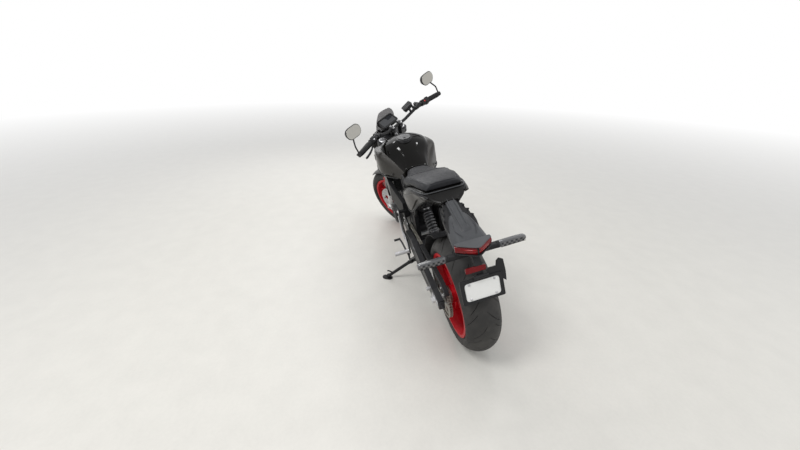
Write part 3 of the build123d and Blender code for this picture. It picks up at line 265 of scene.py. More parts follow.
FINISHES = {
    # name: base colour, roughness, and what differs from the usual
    "black_gloss": (
        (0.004, 0.0037, 0.0033), 0.06,
        dict(grain=900, depth=0.000004, spread=0.2, soft_edge=0.002, specular=0.11)
    ),
    "black_frame": (
        (0.011, 0.011, 0.012), 0.36, dict(specular=0.22, wear=0.25, worn=(0.10, 0.10, 0.10))
    ),
    "dark_grey": (
        (0.029, 0.0265, 0.0235), 0.34,
        dict(specular=0.25, grain=2400, depth=0.00004, wear=0.2, soft_edge=0.003)
    ),
    "tail_grey": (
        (0.054, 0.056, 0.060), 0.44,
        dict(specular=0.28, grain=2600, depth=0.00005, wear=0.2, soft_edge=0.002)
    ),
    "seat_cover": (
        (0.018, 0.0185, 0.021), 0.50, dict(specular=0.2, cells=620, depth=0.00018, soft_edge=0.0)
    ),
    "rim_red": ((0.44, 0.004, 0.010), 0.42, dict(specular=0.25, soft_edge=0.0)),
    "tyre_rubber": (
        (0.032, 0.031, 0.030), 0.70,
        dict(specular=0.3, grain=1100, depth=0.00016, spread=0.22, dust=0.16, soft_edge=0.0)
    ),
    "steel_disc": ((0.42, 0.42, 0.43), 0.3, dict(metal=1.0, spread=0.08)),
    "chain_steel": (
        (0.30, 0.285, 0.25), 0.36, dict(metal=0.95, wear=0.5, worn=(0.6, 0.58, 0.54), dust=0.12)
    ),
    "engine_black": (
        (0.016, 0.016, 0.017), 0.48,
        dict(specular=0.3, grain=700, depth=0.00014, wear=0.35, worn=(0.16, 0.16, 0.16))
    ),
    "alloy": ((0.56, 0.56, 0.57), 0.34, dict(metal=0.9, wear=0.3, streak=(1.0, 0.06, 1.0))),
    "alloy_dark": (
        (0.030, 0.030, 0.032), 0.38,
        dict(specular=0.3, metal=0.2, wear=0.35, worn=(0.28, 0.28, 0.28))
    ),
    "fork_gold": ((0.045, 0.045, 0.048), 0.26, dict(metal=0.6, coat=0.3, streak=(1.0, 1.0, 0.08))),
    "exhaust_steel": (
        (0.085, 0.082, 0.078), 0.42, dict(metal=0.75, spread=0.3, wear=0.3, dust=0.06)
    ),
    "lens_red": (
        (0.20, 0.002, 0.005), 0.2, dict(specular=0.2, grain=260, depth=0.00012, transmit=0.25)
    ),
    "lamp_bar": (
        (0.12, 0.12, 0.125), 0.18,
        dict(coat=0.2, specular=0.4, grain=420, depth=0.0001, transmit=0.25)
    ),
    "plate_white": (
        (0.80, 0.80, 0.78), 0.34, dict(grain=500, depth=0.00002, spread=0.04, dust=0.05)
    ),
    "screen_tint": (
        (0.075, 0.062, 0.072), 0.07,
        dict(alpha=0.58, spread=0.04, specular=0.4, grain=900, depth=0.000002, soft_edge=0.0)
    ),
    "lamp_glass": (
        (0.86, 0.89, 0.92), 0.05,
        dict(coat=0.5, transmit=0.9, grain=300, depth=0.00003, soft_edge=0.0)
    ),
    "mirror": ((0.40, 0.39, 0.36), 0.05, dict(metal=1.0, grain=300, depth=0.000004, spread=0.03)),
    "rubber": (
        (0.014, 0.014, 0.014), 0.66, dict(specular=0.25, cells=900, depth=0.0001, dust=0.05)
    ),
    "black_plastic": (
        (0.014, 0.014, 0.015), 0.50,
        dict(specular=0.25, grain=2000, depth=0.00006, wear=0.2, worn=(0.1, 0.1, 0.1))
    ),
    "cowl_black": (
        (0.006, 0.0057, 0.0054), 0.22,
        dict(grain=900, depth=0.00001, spread=0.2, soft_edge=0.002, specular=0.14)
    ),
    # near black that paints the shade inside hollows and gaps: the filler neck, the slot in the cap flap, the tail
    # lamp's middle and the exhaust outlet
    "dark_cavity": ((0.006, 0.006, 0.006), 0.8, dict(soft_edge=0.0)),
    "screen_black": ((0.012, 0.014, 0.018), 0.12, dict(coat=0.6, grain=500, depth=0.00001)),
    "reflector_silver": ((0.72, 0.73, 0.75), 0.18, dict(metal=1.0, cells=170, depth=0.0006)),
    "lamp_inner": ((0.16, 0.155, 0.15), 0.25, dict(specular=0.4, cells=240, depth=0.0004)),
    "thread_grey": ((0.16, 0.16, 0.165), 0.8, dict(sheen=0.3)),
    "lens_bright": ((0.34, 0.004, 0.006), 0.2, dict(specular=0.25, cells=240, depth=0.0004)),
    "spring_grey": ((0.10, 0.10, 0.105), 0.35, dict(coat=0.4, wear=0.3)),
}
finish = {
    name: material(name, colour, rough, **more) for name, (colour, rough, more) in FINISHES.items()
}
for name, wheel in (("rear_disc", "rear_wheel_spin"), ("front_discs", "front_wheel_spin")):
    row = joint[wheel]
    finish[name] = material(
        name + "_steel", (0.42, 0.42, 0.43), 0.32, metal=1.0, depth=0.000015,
        brushed=(tuple(row["pos_m"]), tuple(row["axis"])),
    )
slot_of = {p["node"]: p["material_slot"] for p in frame["record"]["subparts"]}
for name, o in node.items():
    m = finish.get(name, finish[slot_of[name]])
    o.data.materials.clear()
    o.data.materials.append(m)

# Mesh helpers.

LEAST_RADIUS = 0.02  # of a point on a turned profile
CORNER_SHARE = 0.47  # of a side that one rounded corner may take


def between(a, b, c, d, t):
    """The smooth curve's value a share t of the way from b to c."""
    return 0.5 * (
        2 * b + (c - a) * t + (2 * a - 5 * b + 4 * c - d) * t * t + (3 * b - a - 3 * c + d) * t**3
    )


def smooth_line(points, steps=8):
    """Points of a smooth curve through the given ones."""
    pts = [Vector(p) for p in points]
    out = []
    count = len(pts)
    for i in range(count - 1):
        a = pts[i - 1] if i > 0 else pts[0] * 2 - pts[1]
        b, c = pts[i], pts[i + 1]
        d = pts[i + 2] if i + 2 < count else pts[-1] * 2 - pts[-2]
        out += [between(a, b, c, d, s / steps) for s in range(steps)]
    out.append(pts[-1])
    return out


def rounded(points, radius, steps=4):
    """A closed outline with its corners rounded. radius is one number, or one for each corner."""
    pts = [Vector(p) for p in points]
    radii = [radius] * len(pts) if isinstance(radius, (int, float)) else radius
    out = []
    for i, p in enumerate(pts):
        a, b = pts[i - 1] - p, pts[(i + 1) % len(pts)] - p
        start = p + a.normalized() * min(radii[i], a.length * CORNER_SHARE)
        end = p + b.normalized() * min(radii[i], b.length * CORNER_SHARE)
        for s in range(steps + 1):
            t = s / steps
            out.append(start * (1 - t) ** 2 + p * 2 * t * (1 - t) + end * t * t)
    return out


def mirrored(x, half):
    """A closed ring in the plane x, from its left half given from top to foot."""
    return [(x, y, z) for y, z in half] + [(x, -y, z) for y, z in half[:0:-1]]


def circle(centre, u, v, radius, count, flat=1.0):
    """A circle through the directions u and v, with v scaled by flat."""
    angles = (2 * math.pi * k / count for k in range(count))
    return [centre + (u * math.cos(a) + v * (flat * math.sin(a))) * radius for a in angles]


def placed(name, data):
    """A new object in the scene."""
    o = bpy.data.objects.new(name, data)
    bpy.context.scene.collection.objects.link(o)
    return o


class Piece:
    """Collects faces in millimetres and becomes one object on a body."""

    def __init__(self, name, finishes, body="chassis", matrix=None):
        self.name, self.finishes, self.body = name, finishes, body
        self.matrix = matrix or PLACE[body]
        self.bm = bmesh.new()
        self.index = 0

    def rings(self, rings, closed=True, start=True, end=True, loop=False):
        rows = [[self.bm.verts.new(p) for p in ring] for ring in rings]
        count = len(rows[0])
        spans = range(len(rows) if loop else len(rows) - 1)
        for i in spans:
            a, b = rows[i], rows[(i + 1) % len(rows)]
            for k in range(count if closed else count - 1):
                n = (k + 1) % count
                f = self.bm.faces.new((a[k], a[n], b[n], b[k]))
                f.material_index = self.index
        if closed and not loop:
            for flag, row in ((start, rows[0]), (end, rows[-1])):
                if flag:
                    self.bm.faces.new(row).material_index = self.index
        return self

    def revolve(self, profile, origin, axis, count=32, loop=False, ends=True):
        """profile: (radius, height along the axis) pairs."""
        w = Vector(axis).normalized()
        u = w.orthogonal().normalized()
        v = w.cross(u)
        o = Vector(origin)
        rows = [circle(o + w * h, u, v, max(r, LEAST_RADIUS), count) for r, h in profile]
        return self.rings(rows, start=ends, end=ends, loop=loop)

    def tube(self, points, radius, count=12, steps=6, smooth=True, flat=1.0):
        pts = smooth_line(points, steps) if smooth else [Vector(p) for p in points]
        radii = radius if isinstance(radius, (list, tuple)) else None
        rows = []
        normal = None
        for i, p in enumerate(pts):
            t = (pts[min(i + 1, len(pts) - 1)] - pts[max(i - 1, 0)]).normalized()
            normal = t.orthogonal() if normal is None else normal - t * normal.dot(t)
            normal = normal.normalized()
            side = t.cross(normal)
            if radii:
                s = i / (len(pts) - 1) * (len(radii) - 1)
                j = min(int(s), len(radii) - 2)
                r = radii[j] + (radii[j + 1] - radii[j]) * (s - j)
            else:
                r = radius
            rows.append(circle(p, normal, side, r, count, flat))
        return self.rings(rows)

    def slab(self, outline, origin, x, y, depth, chamfer=1.0, radius=0.0, steps=3):
        """An outline in the plane of x and y, thickened across it, with chamfered edges."""
        x, y, o = Vector(x).normalized(), Vector(y).normalized(), Vector(origin)
        z = x.cross(y)
        flat = [Vector((a, b, 0)) for a, b in outline]
        area = sum(p.x * q.y - q.x * p.y for p, q in zip(flat, flat[1:] + flat[:1]))
        if area < 0:
            flat.reverse()
            if isinstance(radius, list):
                radius = radius[::-1]
        if radius:
            flat = rounded(flat, radius, steps)
        inset = []
        for i, p in enumerate(flat):
            a = (p - flat[i - 1]).normalized()
            b = (flat[(i + 1) % len(flat)] - p).normalized()
            n = Vector((-a.y - b.y, a.x + b.x, 0))
            k = max(0.35, n.length / 2)
            inset.append(p + n.normalized() * chamfer / k)
        sign = 1 if depth > 0 else -1
        levels = (
            (inset, 0.0), (flat, sign * chamfer), (flat, depth - sign * chamfer), (inset, depth)
        )
        rows = [[o + x * p.x + y * p.y + z * h for p in ring] for ring, h in levels]
        return self.rings(rows)

    def bolt(self, place, axis, r=6.0, h=5.0, washer=True):
        a = Vector(axis).normalized()
        p = Vector(place)
        if washer:
            self.revolve([(r * 1.45, 0), (r * 1.45, 1.2), (r * 1.3, 1.6)], p - a * 0.4, a, 16)
        self.revolve(
            [
                (r, 0.6), (r, h * 0.8), (r * 0.86, h), (r * 0.52, h), (r * 0.5, h * 0.35),
                (0, h * 0.35)
            ],
            p, a, 12
        )
        return self

    def done(self, slot=None, replaces=(), angle=40.0):
        same_place = 4e-6 / abs(self.matrix.to_scale().x)
        bmesh.ops.remove_doubles(self.bm, verts=self.bm.verts, dist=same_place)
        bmesh.ops.recalc_face_normals(self.bm, faces=self.bm.faces)
        me = bpy.data.meshes.new(self.name)
        self.bm.to_mesh(me)
        self.bm.free()
        me.transform(self.matrix)
        if self.matrix.to_3x3().determinant() < 0:
            me.flip_normals()
        me.shade_smooth()
        me.set_sharp_from_angle(angle=math.radians(angle))
        for key in self.finishes:
            me.materials.append(finish[key])
        o = placed(self.name, me)
        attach(o, self.body)
        if replaces:
            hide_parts(*replaces)
        return o


# Tyres.

TREAD_STEPS = 44
GROOVE_WIDTH, GROOVE_DEPTH = 5.0, 5.0


def tyre_piece(name, cad, body, hub, radius, half, crown, bead, bead_half, repeats, lean_of_cut):
    edge = radius - crown + math.sqrt(crown**2 - half**2)
    edge_angle = math.asin(half / crown)
    profile = []
    for k in range(TREAD_STEPS + 1):
        a = -edge_angle + 2 * edge_angle * k / TREAD_STEPS
        profile.append(
            (crown * math.sin(a), radius - crown + crown * math.cos(a), abs(a) / edge_angle)
        )
    side = [
        (half, edge - 3), (half - 0.6, edge - 12), (half - 1.4, edge - 13), (half - 2.2, edge - 20)
    ]
    side += [
        (bead_half + 5, bead + 22), (bead_half + 4.2, bead + 20.6), (bead_half + 1.5, bead + 16),
        (bead_half, bead + 14.5), (bead_half, bead + 1)
    ]
    low = [(-y, r, 2.0) for y, r in reversed(side)]
    high = [(y, r, 2.0) for y, r in side]
    profile = low + profile + high
    step = 2 * math.pi / repeats
    width = GROOVE_WIDTH / radius
    columns = []
    for k in range(repeats):
        for part in (0.0, 0.5):
            a = (k + part) * step
            tag = (k * 2 + int(part * 2)) % 4
            columns += [
                (a - width * 0.5, 0, tag), (a - width * 0.36, 1, tag), (a + width * 0.36, 1, tag),
                (a + width * 0.5, 0, tag)
            ]
            for more in (1, 2, 3, 4):
                columns.append((a + width * 0.5 + (step / 2 - width) * more / 5, 0, tag))
    # each groove: which side of the middle, from and to as a share of the way to the edge
    grooves = {0: (1, 0.06, 0.66), 1: (-1, 0.34, 0.9), 2: (-1, 0.06, 0.66), 3: (1, 0.34, 0.9)}
    piece = Piece(name, ["tyre_rubber"], body)
    rows = []
    for a, deep, tag in columns:
        ring = []
        for y, r, share in profile:
            shift = lean_of_cut * (min(share, 1.0) ** 0.75)
            cut = 0.0
            if deep and share <= 1.0:
                which, start, end = grooves[tag]
                if y * which > 0 and start < share < end:
                    ends = min((share - start) / 0.04, (end - share) / 0.06, 1.0)
                    cut = GROOVE_DEPTH * max(0.0, ends)
            t = a + shift
            rr = r - cut
            ring.append(hub + Vector((rr * math.sin(t), y, rr * math.cos(t))))
        rows.append(ring)
    piece.rings(rows, closed=False, loop=True)
    piece.rings([[rows[k][-1], rows[k][0]] for k in range(len(rows))], closed=False, loop=True)
    return piece.done("tyre_rubber", (cad,), angle=28)


tyre_piece(
    "rear_tyre_tread", "rear_tyre", "rear_wheel", REAR_HUB, REAR_RADIUS, 90.0, 102.0, BEAD_RADIUS,
    77.5, 26, -0.42
)
tyre_piece(
    "front_tyre_tread", "front_tyre", "front_wheel", FRONT_HUB, FRONT_RADIUS, 60.0, 66.4,
    BEAD_RADIUS, 44.5, 28, -0.30
)

# Chain.

PITCH_LINK = 15.875
BIG_TEETH, SMALL_TEETH, LINKS = 43, 16, 106
R_BIG = PITCH_LINK / (2 * math.sin(math.pi / BIG_TEETH))
R_SMALL = PITCH_LINK / (2 * math.sin(math.pi / SMALL_TEETH))
CHAIN_Y = 107.0  # its middle line
LINK_END, LINK_WAIST, LINK_PLATE = 6.9, 4.9, 1.6
INNER_PLATES, OUTER_PLATES = 4.9, 6.9  # inside faces, from the middle line


def chain_path():
    line = SPROCKET_HUB - REAR_HUB
    reach = line.length
    tilt = math.atan2(line.z, line.x)
    drop = math.asin((R_BIG - R_SMALL) / reach)
    top, low = tilt + math.pi / 2 - drop, tilt - math.pi / 2 + drop

    def arc(centre, r, start, stop, count):
        return [centre + bearing(start + (stop - start) * k / count) * r for k in range(count)]

    def straight(a, b, count):
        return [a.lerp(b, k / count) for k in range(count)]

    behind = arc(REAR_HUB, R_BIG, top, low + 2 * math.pi, 60)
    ahead = arc(SPROCKET_HUB, R_SMALL, low, top, 30)
    low_run = straight(REAR_HUB + bearing(low) * R_BIG, ahead[0], 40)
    top_run = straight(SPROCKET_HUB + bearing(top) * R_SMALL, behind[0], 40)
    return behind + low_run + ahead + top_run


def evenly(points, count):
    loop = points + [points[0]]
    total = sum((loop[i + 1] - loop[i]).length for i in range(len(points)))
    out, walked, i = [], 0.0, 0
    for k in range(count):
        goal = total * k / count
        while walked + (loop[i + 1] - loop[i]).length < goal:
            walked += (loop[i + 1] - loop[i]).length
            i += 1
        span = loop[i + 1] - loop[i]
        out.append(loop[i] + span * ((goal - walked) / span.length))
    return out


links = Piece("chain_links", ["chain_steel"])
pins = evenly(chain_path(), LINKS)
for k, a in enumerate(pins):
    b = pins[(k + 1) % len(pins)]
    x = (b - a).normalized()
    z = x.cross(LEFT)
    middle = (b - a).length / 2
    outline = []
    for s in range(5):
        t = math.radians(110 + 140 * s / 4)
        outline.append((LINK_END * math.cos(t), LINK_END * math.sin(t)))
    outline.append((middle, -LINK_WAIST))
    for s in range(5):
        t = math.radians(-70 + 140 * s / 4)
        outline.append((2 * middle + LINK_END * math.cos(t), LINK_END * math.sin(t)))
    outline.append((middle, LINK_WAIST))
    for side in BOTH:
        inner = INNER_PLATES if k % 2 else OUTER_PLATES
        y = CHAIN_Y + (side * (inner + LINK_PLATE / 2)) - LINK_PLATE / 2
        links.slab(outline, a + LEFT * y, x, -z, LINK_PLATE, 0.35)
    links.revolve([(4.9, -4.7), (4.9, 4.7)], a + LEFT * CHAIN_Y, LEFT, 10)
    links.revolve([(2.3, -9.3), (2.6, -8.6), (2.6, 8.6), (2.3, 9.3)], a + LEFT * CHAIN_Y, LEFT, 8)
links.done("chain_steel", ("chain",))

# Seat.

SEAT_ROWS = (
    # x, top, shoulder, shoulder z, waist, waist z, foot, foot z
    (88, 907, 72, 901, 92, 889, 97, 880),
    (115, 911, 82, 905, 104, 891, 107, 878),
    (165, 911, 94, 904, 116, 889, 116, 873),
    (210, 908, 102, 900, 122, 886, 118, 867),
    (280, 896, 111, 886, 130, 873, 120, 856),
    (330, 886, 116, 875, 137, 861, 127, 838),
    (380, 876, 119, 865, 139, 851, 129, 822),
    (430, 860, 116, 851, 135, 837, 124, 802),
    (500, 845, 88, 838, 103, 824, 93, 793),
    (560, 842, 71, 835, 85, 821, 75, 789),
    (619, 837, 58, 827, 68, 812, 56, 800),
)


def seat_ring(row):
    x, top, sh, shz, wa, waz, fo, foz = row
    half = [(0, top), (sh * 0.62, top - 2), (sh, shz), (wa, waz), (fo, foz), (fo * 0.5, foz - 0.5)]
    return rounded(mirrored(x, half), [30, 24, 7, 12, 6, 20, 20, 6, 12, 7, 24], 3)


def smooth_rows(rows, steps):
    out = []
    count = len(rows)
    for i in range(count - 1):
        a = rows[max(i - 1, 0)]
        b, c = rows[i], rows[i + 1]
        d = rows[min(i + 2, count - 1)]
        for s in range(steps):
            out.append([between(*four, s / steps) for four in zip(a, b, c, d)])
    out.append(list(rows[-1]))
    return out


def shrunk(ring, amount, shift):
    c = sum(ring, Vector()) / len(ring)
    return [c + (p - c) * amount + Vector((shift, 0, 0)) for p in ring]


def loft_rings(rows, ring_of, steps=6, round_ends=(6.0, 6.0)):
    rings = [ring_of(r) for r in smooth_rows(rows, steps)]
    first, last = rings[0], rings[-1]
    start = [
        shrunk(
            first, 1 - 0.09 * (1 - k / 3) ** 2 * round_ends[0] / 6,
            -round_ends[0] * (1 - (k / 3) ** 2) * 0.5
        )
        for k in range(3)
    ]
    end = [
        shrunk(
            last, 1 - 0.09 * (k / 3) ** 2 * round_ends[1] / 6,
            round_ends[1] * 0.5 * (1 - (1 - k / 3) ** 2)
        )
        for k in range(1, 4)
    ]
    return start + rings + end


seat = Piece("seat_pad", ["seat_cover"])
seat.rings(loft_rings(SEAT_ROWS, seat_ring, 6))
seat_object = seat.done("seat_cover", ("seat",), angle=60)


CLOTH_FRAMES = 20


def baked(obj):
    """Keeps what an object's modifiers make of it as its mesh."""
    shaped = obj.evaluated_get(bpy.context.evaluated_depsgraph_get())
    mesh = bpy.data.meshes.new_from_object(shaped)
    obj.modifiers.clear()
    obj.data = mesh
    return mesh


def inflate(obj, voxel, pressure, cap):
    """Swells a closed piece like a stuffed cover, with its result kept in the mesh."""
    bpy.context.view_layer.objects.active = obj
    rest = obj.modifiers.new("remesh", "REMESH")
    rest.mode = "VOXEL"
    rest.voxel_size = voxel
    mesh = baked(obj)
    still = [v.co.copy() for v in mesh.vertices]
    cloth = obj.modifiers.new("cloth", "CLOTH")
    cloth.settings.use_pressure = True
    cloth.settings.uniform_pressure_force = pressure
    cloth.settings.effector_weights.gravity = 0
    cloth.settings.tension_stiffness = 40
    cloth.settings.compression_stiffness = 40
    cloth.settings.bending_stiffness = 4
    scene = bpy.context.scene
    for f in range(1, CLOTH_FRAMES + 1):
        scene.frame_set(f)
    mesh = baked(obj)
    for v, old in zip(mesh.vertices, still):
        d = v.co - old
        if d.length > cap:
            v.co = old + d.normalized() * cap
    scene.frame_set(1)
    mesh.shade_smooth()


inflate(seat_object, voxel=0.005, pressure=4.0, cap=0.006)


LEAST_STEP = 0.0008  # metres between two places on a surface


def on_surface(obj, points, lift):
    """The nearest places on an object's surface, in metres, a little above it."""
    tree = BVHTree.FromObject(obj, bpy.context.evaluated_depsgraph_get())
    out = []
    for p in points:
        hit, normal, _, _ = tree.find_nearest(PARK @ Vector(p))
        spot = hit + normal * lift
        if not out or (spot - out[-1]).length > LEAST_STEP:
            out.append(spot)
    return out


# These two are built in metres, on the padded cover as it lies in the frame.
SEAM, SEAM_LIFT, THREAD, THREAD_LIFT = 0.0016, 0.0003, 0.0004, 0.0001
seat_seams = Piece("seat_seams", ["seat_cover"], matrix=Matrix.Identity(4))
stitches = Piece("seat_stitches", ["thread_grey"], matrix=Matrix.Identity(4))
for side in BOTH:
    line = [(r[0], side * (r[2] - 1), r[3] + 1) for r in smooth_rows(SEAT_ROWS[1:-1], 8)]
    path = on_surface(seat_object, line, SEAM_LIFT)
    seat_seams.tube(path, SEAM, 8, smooth=False)
    inner = on_surface(seat_object, [(x, y - side * 7, z + 2) for x, y, z in line], THREAD_LIFT)
    walk = smooth_line(inner, 2)
    for k in range(0, len(walk) - 1):
        a, b = walk[k], walk[k + 1]
        stitches.tube([a.lerp(b, 0.12), a.lerp(b, 0.88)], THREAD, 5, smooth=False)
cross = on_surface(
    seat_object, [(372 - 16 * math.cos(y / 110 * 1.5), y, 905) for y in range(-112, 113, 8)],
    SEAM_LIFT
)
seat_seams.tube(cross, SEAM, 8, smooth=False)
rear_welt = on_surface(seat_object, [(97, y, 912) for y in range(-64, 65, 8)], SEAM_LIFT)
seat_seams.tube(rear_welt, SEAM, 8, smooth=False)
seat_seams.done("seat_cover")
stitches.done("seat_cover")

# Tail.


def hood_ring(row):
    x, top, sh, shz, wa, waz, fo, foz = row
    half = [(0, top), (sh * 0.7, top - 1.5), (sh, shz), (wa, waz), (fo, foz), (fo * 0.5, foz)]
    return rounded(mirrored(x, half), [26, 20, 12, 16, 5, 10, 10, 5, 16, 12, 20], 4)


tail = Piece("tail_hood", ["tail_grey"])
tail.rings(
    loft_rings(
        (
            (-219, 749, 52, 746, 82, 722, 78, 716),
            (-190, 762, 56, 757, 83, 732, 78, 716),
            (-140, 781, 56, 773, 78, 748, 72, 726),
            (-90, 800, 48, 790, 68, 765, 62, 742),
            (-62, 807, 38, 800, 54, 780, 50, 760),
        ),
        hood_ring,
        6,
        (4.0, 8.0),
    )
)
tail.done("tail_grey", ("tail_unit",))

spine = Piece("tail_spine", ["tail_grey"])
for y, wide, lift in ((0, 52, 3.0), (0, 36, 6.0)):
    rows = []
    for x, z in ((-176, 764), (-168, 770), (-120, 789), (-60, 813), (-10, 833), (36, 851)):
        w = wide / 2 * (1.0 if x > -170 else 0.8)
        top = z + lift if x > -172 else z
        rows.append(
            rounded(
                [
                    (x, w, top - 3), (x, w + 2, z - 22), (x, -w - 2, z - 22), (x, -w, top - 3),
                    (x, 0, top)
                ],
                [3, 2, 2, 3, 20], 2
            )
        )
    spine.rings(rows)
for y in (-15, 15):
    rib = [(-160, y, 775), (-120, y, 793.5), (-60, y, 817.5), (-10, y, 837.5), (30, y, 852.5)]
    spine.tube(rib, [1.5, 4.6, 4.6, 4.6, 1.5], 8, flat=0.9)
for side in BOTH:
    spine.tube(
        [(-196, side * 30, 762), (-150, side * 50, 777), (-96, side * 40, 797)], [0.8, 2.4, 0.8], 8
    )
spine.done("tail_grey")

tray = Piece("tail_tray", ["black_plastic"])
tray_plan = [
    (38, 40), (8, 42), (4, 52), (-26, 54), (-30, 62), (-58, 64), (-62, 72), (-96, 74), (-130, 70)
]
TRAY_FRONT, TRAY_REAR = 38, -130
slope = Vector((TRAY_FRONT - TRAY_REAR, 0, 838 - 758)).normalized()
for side in BOTH:
    pts = [((x - TRAY_REAR) / slope.x, y) for x, y in tray_plan]
    pts += [(0, 24), ((TRAY_FRONT - TRAY_REAR) / slope.x, 24)]
    tray.slab([(a, side * b) for a, b in pts], (TRAY_REAR, 0, 742), slope, LEFT, 20, 1.2)
    tray.tube([(30, side * 46, 806), (-40, side * 60, 770), (-150, side * 70, 724)], 7, 10)
tray.slab([(-10, -44), (150, -36), (150, 36), (-10, 44)], (-120, 0, 732), slope, LEFT, 14, 1.0, 6)
for x, y, z in ((12, 44, 846), (-18, 54, 834), (-48, 64, 822), (-80, 72, 806)):
    for s in BOTH:
        tray.bolt((x - 2, s * (y - 5), z - 14), (-0.4, 0, 0.9), 4.0, 4.0)
tray.done("black_plastic")


def lamp_edge(t):
    """How far back the lamp reaches, from its middle at 0 to its end at 1."""
    return -284 + 51 * t**1.25


lamp = Piece("tail_lamp_shell", ["lens_red", "lens_bright", "dark_cavity"])
for side in BOTH:
    rows = []
    for s in range(7):
        t = s / 6
        y = side * (4 + 79 * t)
        front = -222
        back = lamp_edge(t)
        top = 747 - 3 * t
        foot = 709 + 5 * t
        rows.append(
            rounded(
                [
                    (front, y, foot), (front, y, top), (back + 9, y, top),
                    (back, y, (top + foot) / 2 + 4), (back + 7, y, foot)
                ],
                [1, 1, 8, 9, 4], 3
            )
        )
    lamp.index = 0
    lamp.rings(rows)
    lamp.index = 1
    for z in (722, 733):
        lift = 1.5 + (5 if z == 722 else 2.5)
        path = [(lamp_edge(s / 6) + lift, side * (10 + 68 * s / 6), z) for s in range(7)]
        lamp.tube(path, 2.4, 6)
# a near-black plate across the gap between the lamp's two halves, painted shade
lamp.index = 2
lamp.slab([(0, 0), (62, 0), (60, 30), (8, 30)], (-285, 3, 716), FORE, SKY, 6, 1.0)
lamp.done("lens_red", ("tail_lamp",))
visor = Piece("tail_lamp_visor", ["tail_grey", "black_plastic"])
for z, thick, over, index in ((747.6, 3.2, 2, 0), (704.6, 4.6, 0, 1)):
    plan = [
        (-216, 80), (-232 - over, 82), (-286 - over, 9), (-286 - over, -9), (-232 - over, -82),
        (-216, -80)
    ]
    visor.index = index
    visor.slab(plan, (0, 0, z), FORE, LEFT, thick, 1.0, [3, 8, 6, 6, 8, 3])
visor.done("tail_grey")

# Rear indicators and plate.

SIDES = ((1, "left"), (-1, "right"))

for side, label in SIDES:
    wing = Piece("rear_indicator_" + label, ["lamp_bar", "black_plastic", "lamp_inner"])
    rows = []
    for y, tall, deep in (
        (113, 22, 24), (118, 28, 29), (200, 29, 30), (236, 27, 28), (246, 24, 25), (249.5, 19, 20)
    ):
        c = Vector((-206, side * y, 682))
        corners = (
            (-0.5, 0.12), (-0.3, 0.5), (0.5, 0.42), (0.5, -0.42), (-0.3, -0.5), (-0.5, -0.12)
        )
        rows.append(rounded([c + Vector((deep * a, 0, tall * b)) for a, b in corners], 3, 3))
    wing.rings(rows)
    wing.index = 1
    wing.revolve(
        [(15, 0), (16.4, 2), (16.4, 12), (14, 15)], (-206, side * 112.5, 682), (0, side, 0), 20
    )
    for k in range(10):
        for rise, mat in ((5.6, 1 + k % 2), (-5.6, 2 - k % 2)):
            wing.index = mat
            spot = (-220.3, side * (136 + 11 * k), 682 + rise)
            wing.slab(
                rect(3.8, 3.4), spot, LEFT, (0.10 * (1 if rise > 0 else -1), 0, 1), -0.9, 0.3, 1.5
            )
    wing.index = 1
    wing.slab(
        [(130, -12.6), (246, -11.4), (246, -9.6), (130, -10.4)], (-218.6, 0, 682), LEFT * side,
        (0, 0, 1), -1.6 * side, 0.3
    )
    wing.done("lamp_bar", ("rear_indicators",) if side == 1 else ())

plate_tilt = math.radians(12)
plate_x, plate_y = Vector((0, -1, 0)), Vector((math.sin(plate_tilt), 0, math.cos(plate_tilt)))
plate_z = Vector((-math.cos(plate_tilt), 0, math.sin(plate_tilt)))
PLATE_BEARING = math.radians(37.7)
behind = Vector((-math.cos(PLATE_BEARING), 0, math.sin(PLATE_BEARING)))
plate_at = REAR_HUB + behind * (REAR_RADIUS + 48.0)


def on_plate(a, b, c):
    return plate_at + plate_x * a + plate_y * b + plate_z * c


bits = Piece("plate_fixings", ["alloy", "black_plastic"])
for a, b in ((-58, 34), (58, 34), (-58, -34), (58, -34)):
    bits.bolt(on_plate(a, b, 2), plate_z, 4.2, 3.6)
bits.index = 1
outer = rounded([(a, b, 0) for a, b in rect(98, 56)], 8, 4)
inner = rounded([(a, b, 0) for a, b in rect(80, 43)], 16, 4)
levels = ((outer, 1.0, 0.2), (outer, 0.995, 4.0), (inner, 1.0, 4.0), (inner, 1.0, 2.1))
bits.rings([[on_plate(p.x * k, p.y * k, h) for p in ring] for ring, k, h in levels], loop=True)
bits.tube([on_plate(-34, 62, 6), on_plate(34, 62, 6)], 9, 14, smooth=False)
bits.done("black_plastic")

# Tank.


ARC_STEPS = 9


def arched(row):
    """Half of a body section from its top to its foot: an arc over the top, then straight runs."""
    x, top, sh, shz, wa, waz, fo, foz = row
    rise = max(top - shz, 0.5)
    radius = (sh * sh + rise * rise) / (2 * rise)
    span = math.asin(min(1.0, sh / radius))
    half = []
    for k in range(ARC_STEPS + 1):
        a = span * k / ARC_STEPS
        half.append((radius * math.sin(a), top - radius + radius * math.cos(a)))
    return half + [(wa, waz), (fo, foz), (fo * 0.5, foz - 0.2)]


def body_ring(row, corner):
    x = row[0]
    half = arched(row)
    ring = mirrored(x, half)
    radii = [1.0] * len(ring)
    last = len(half) - 4
    for place, size in zip((last, last + 1, last + 2), corner):
        radii[place] = size
        radii[len(ring) - place] = size
    return rounded(ring, radii, 4)


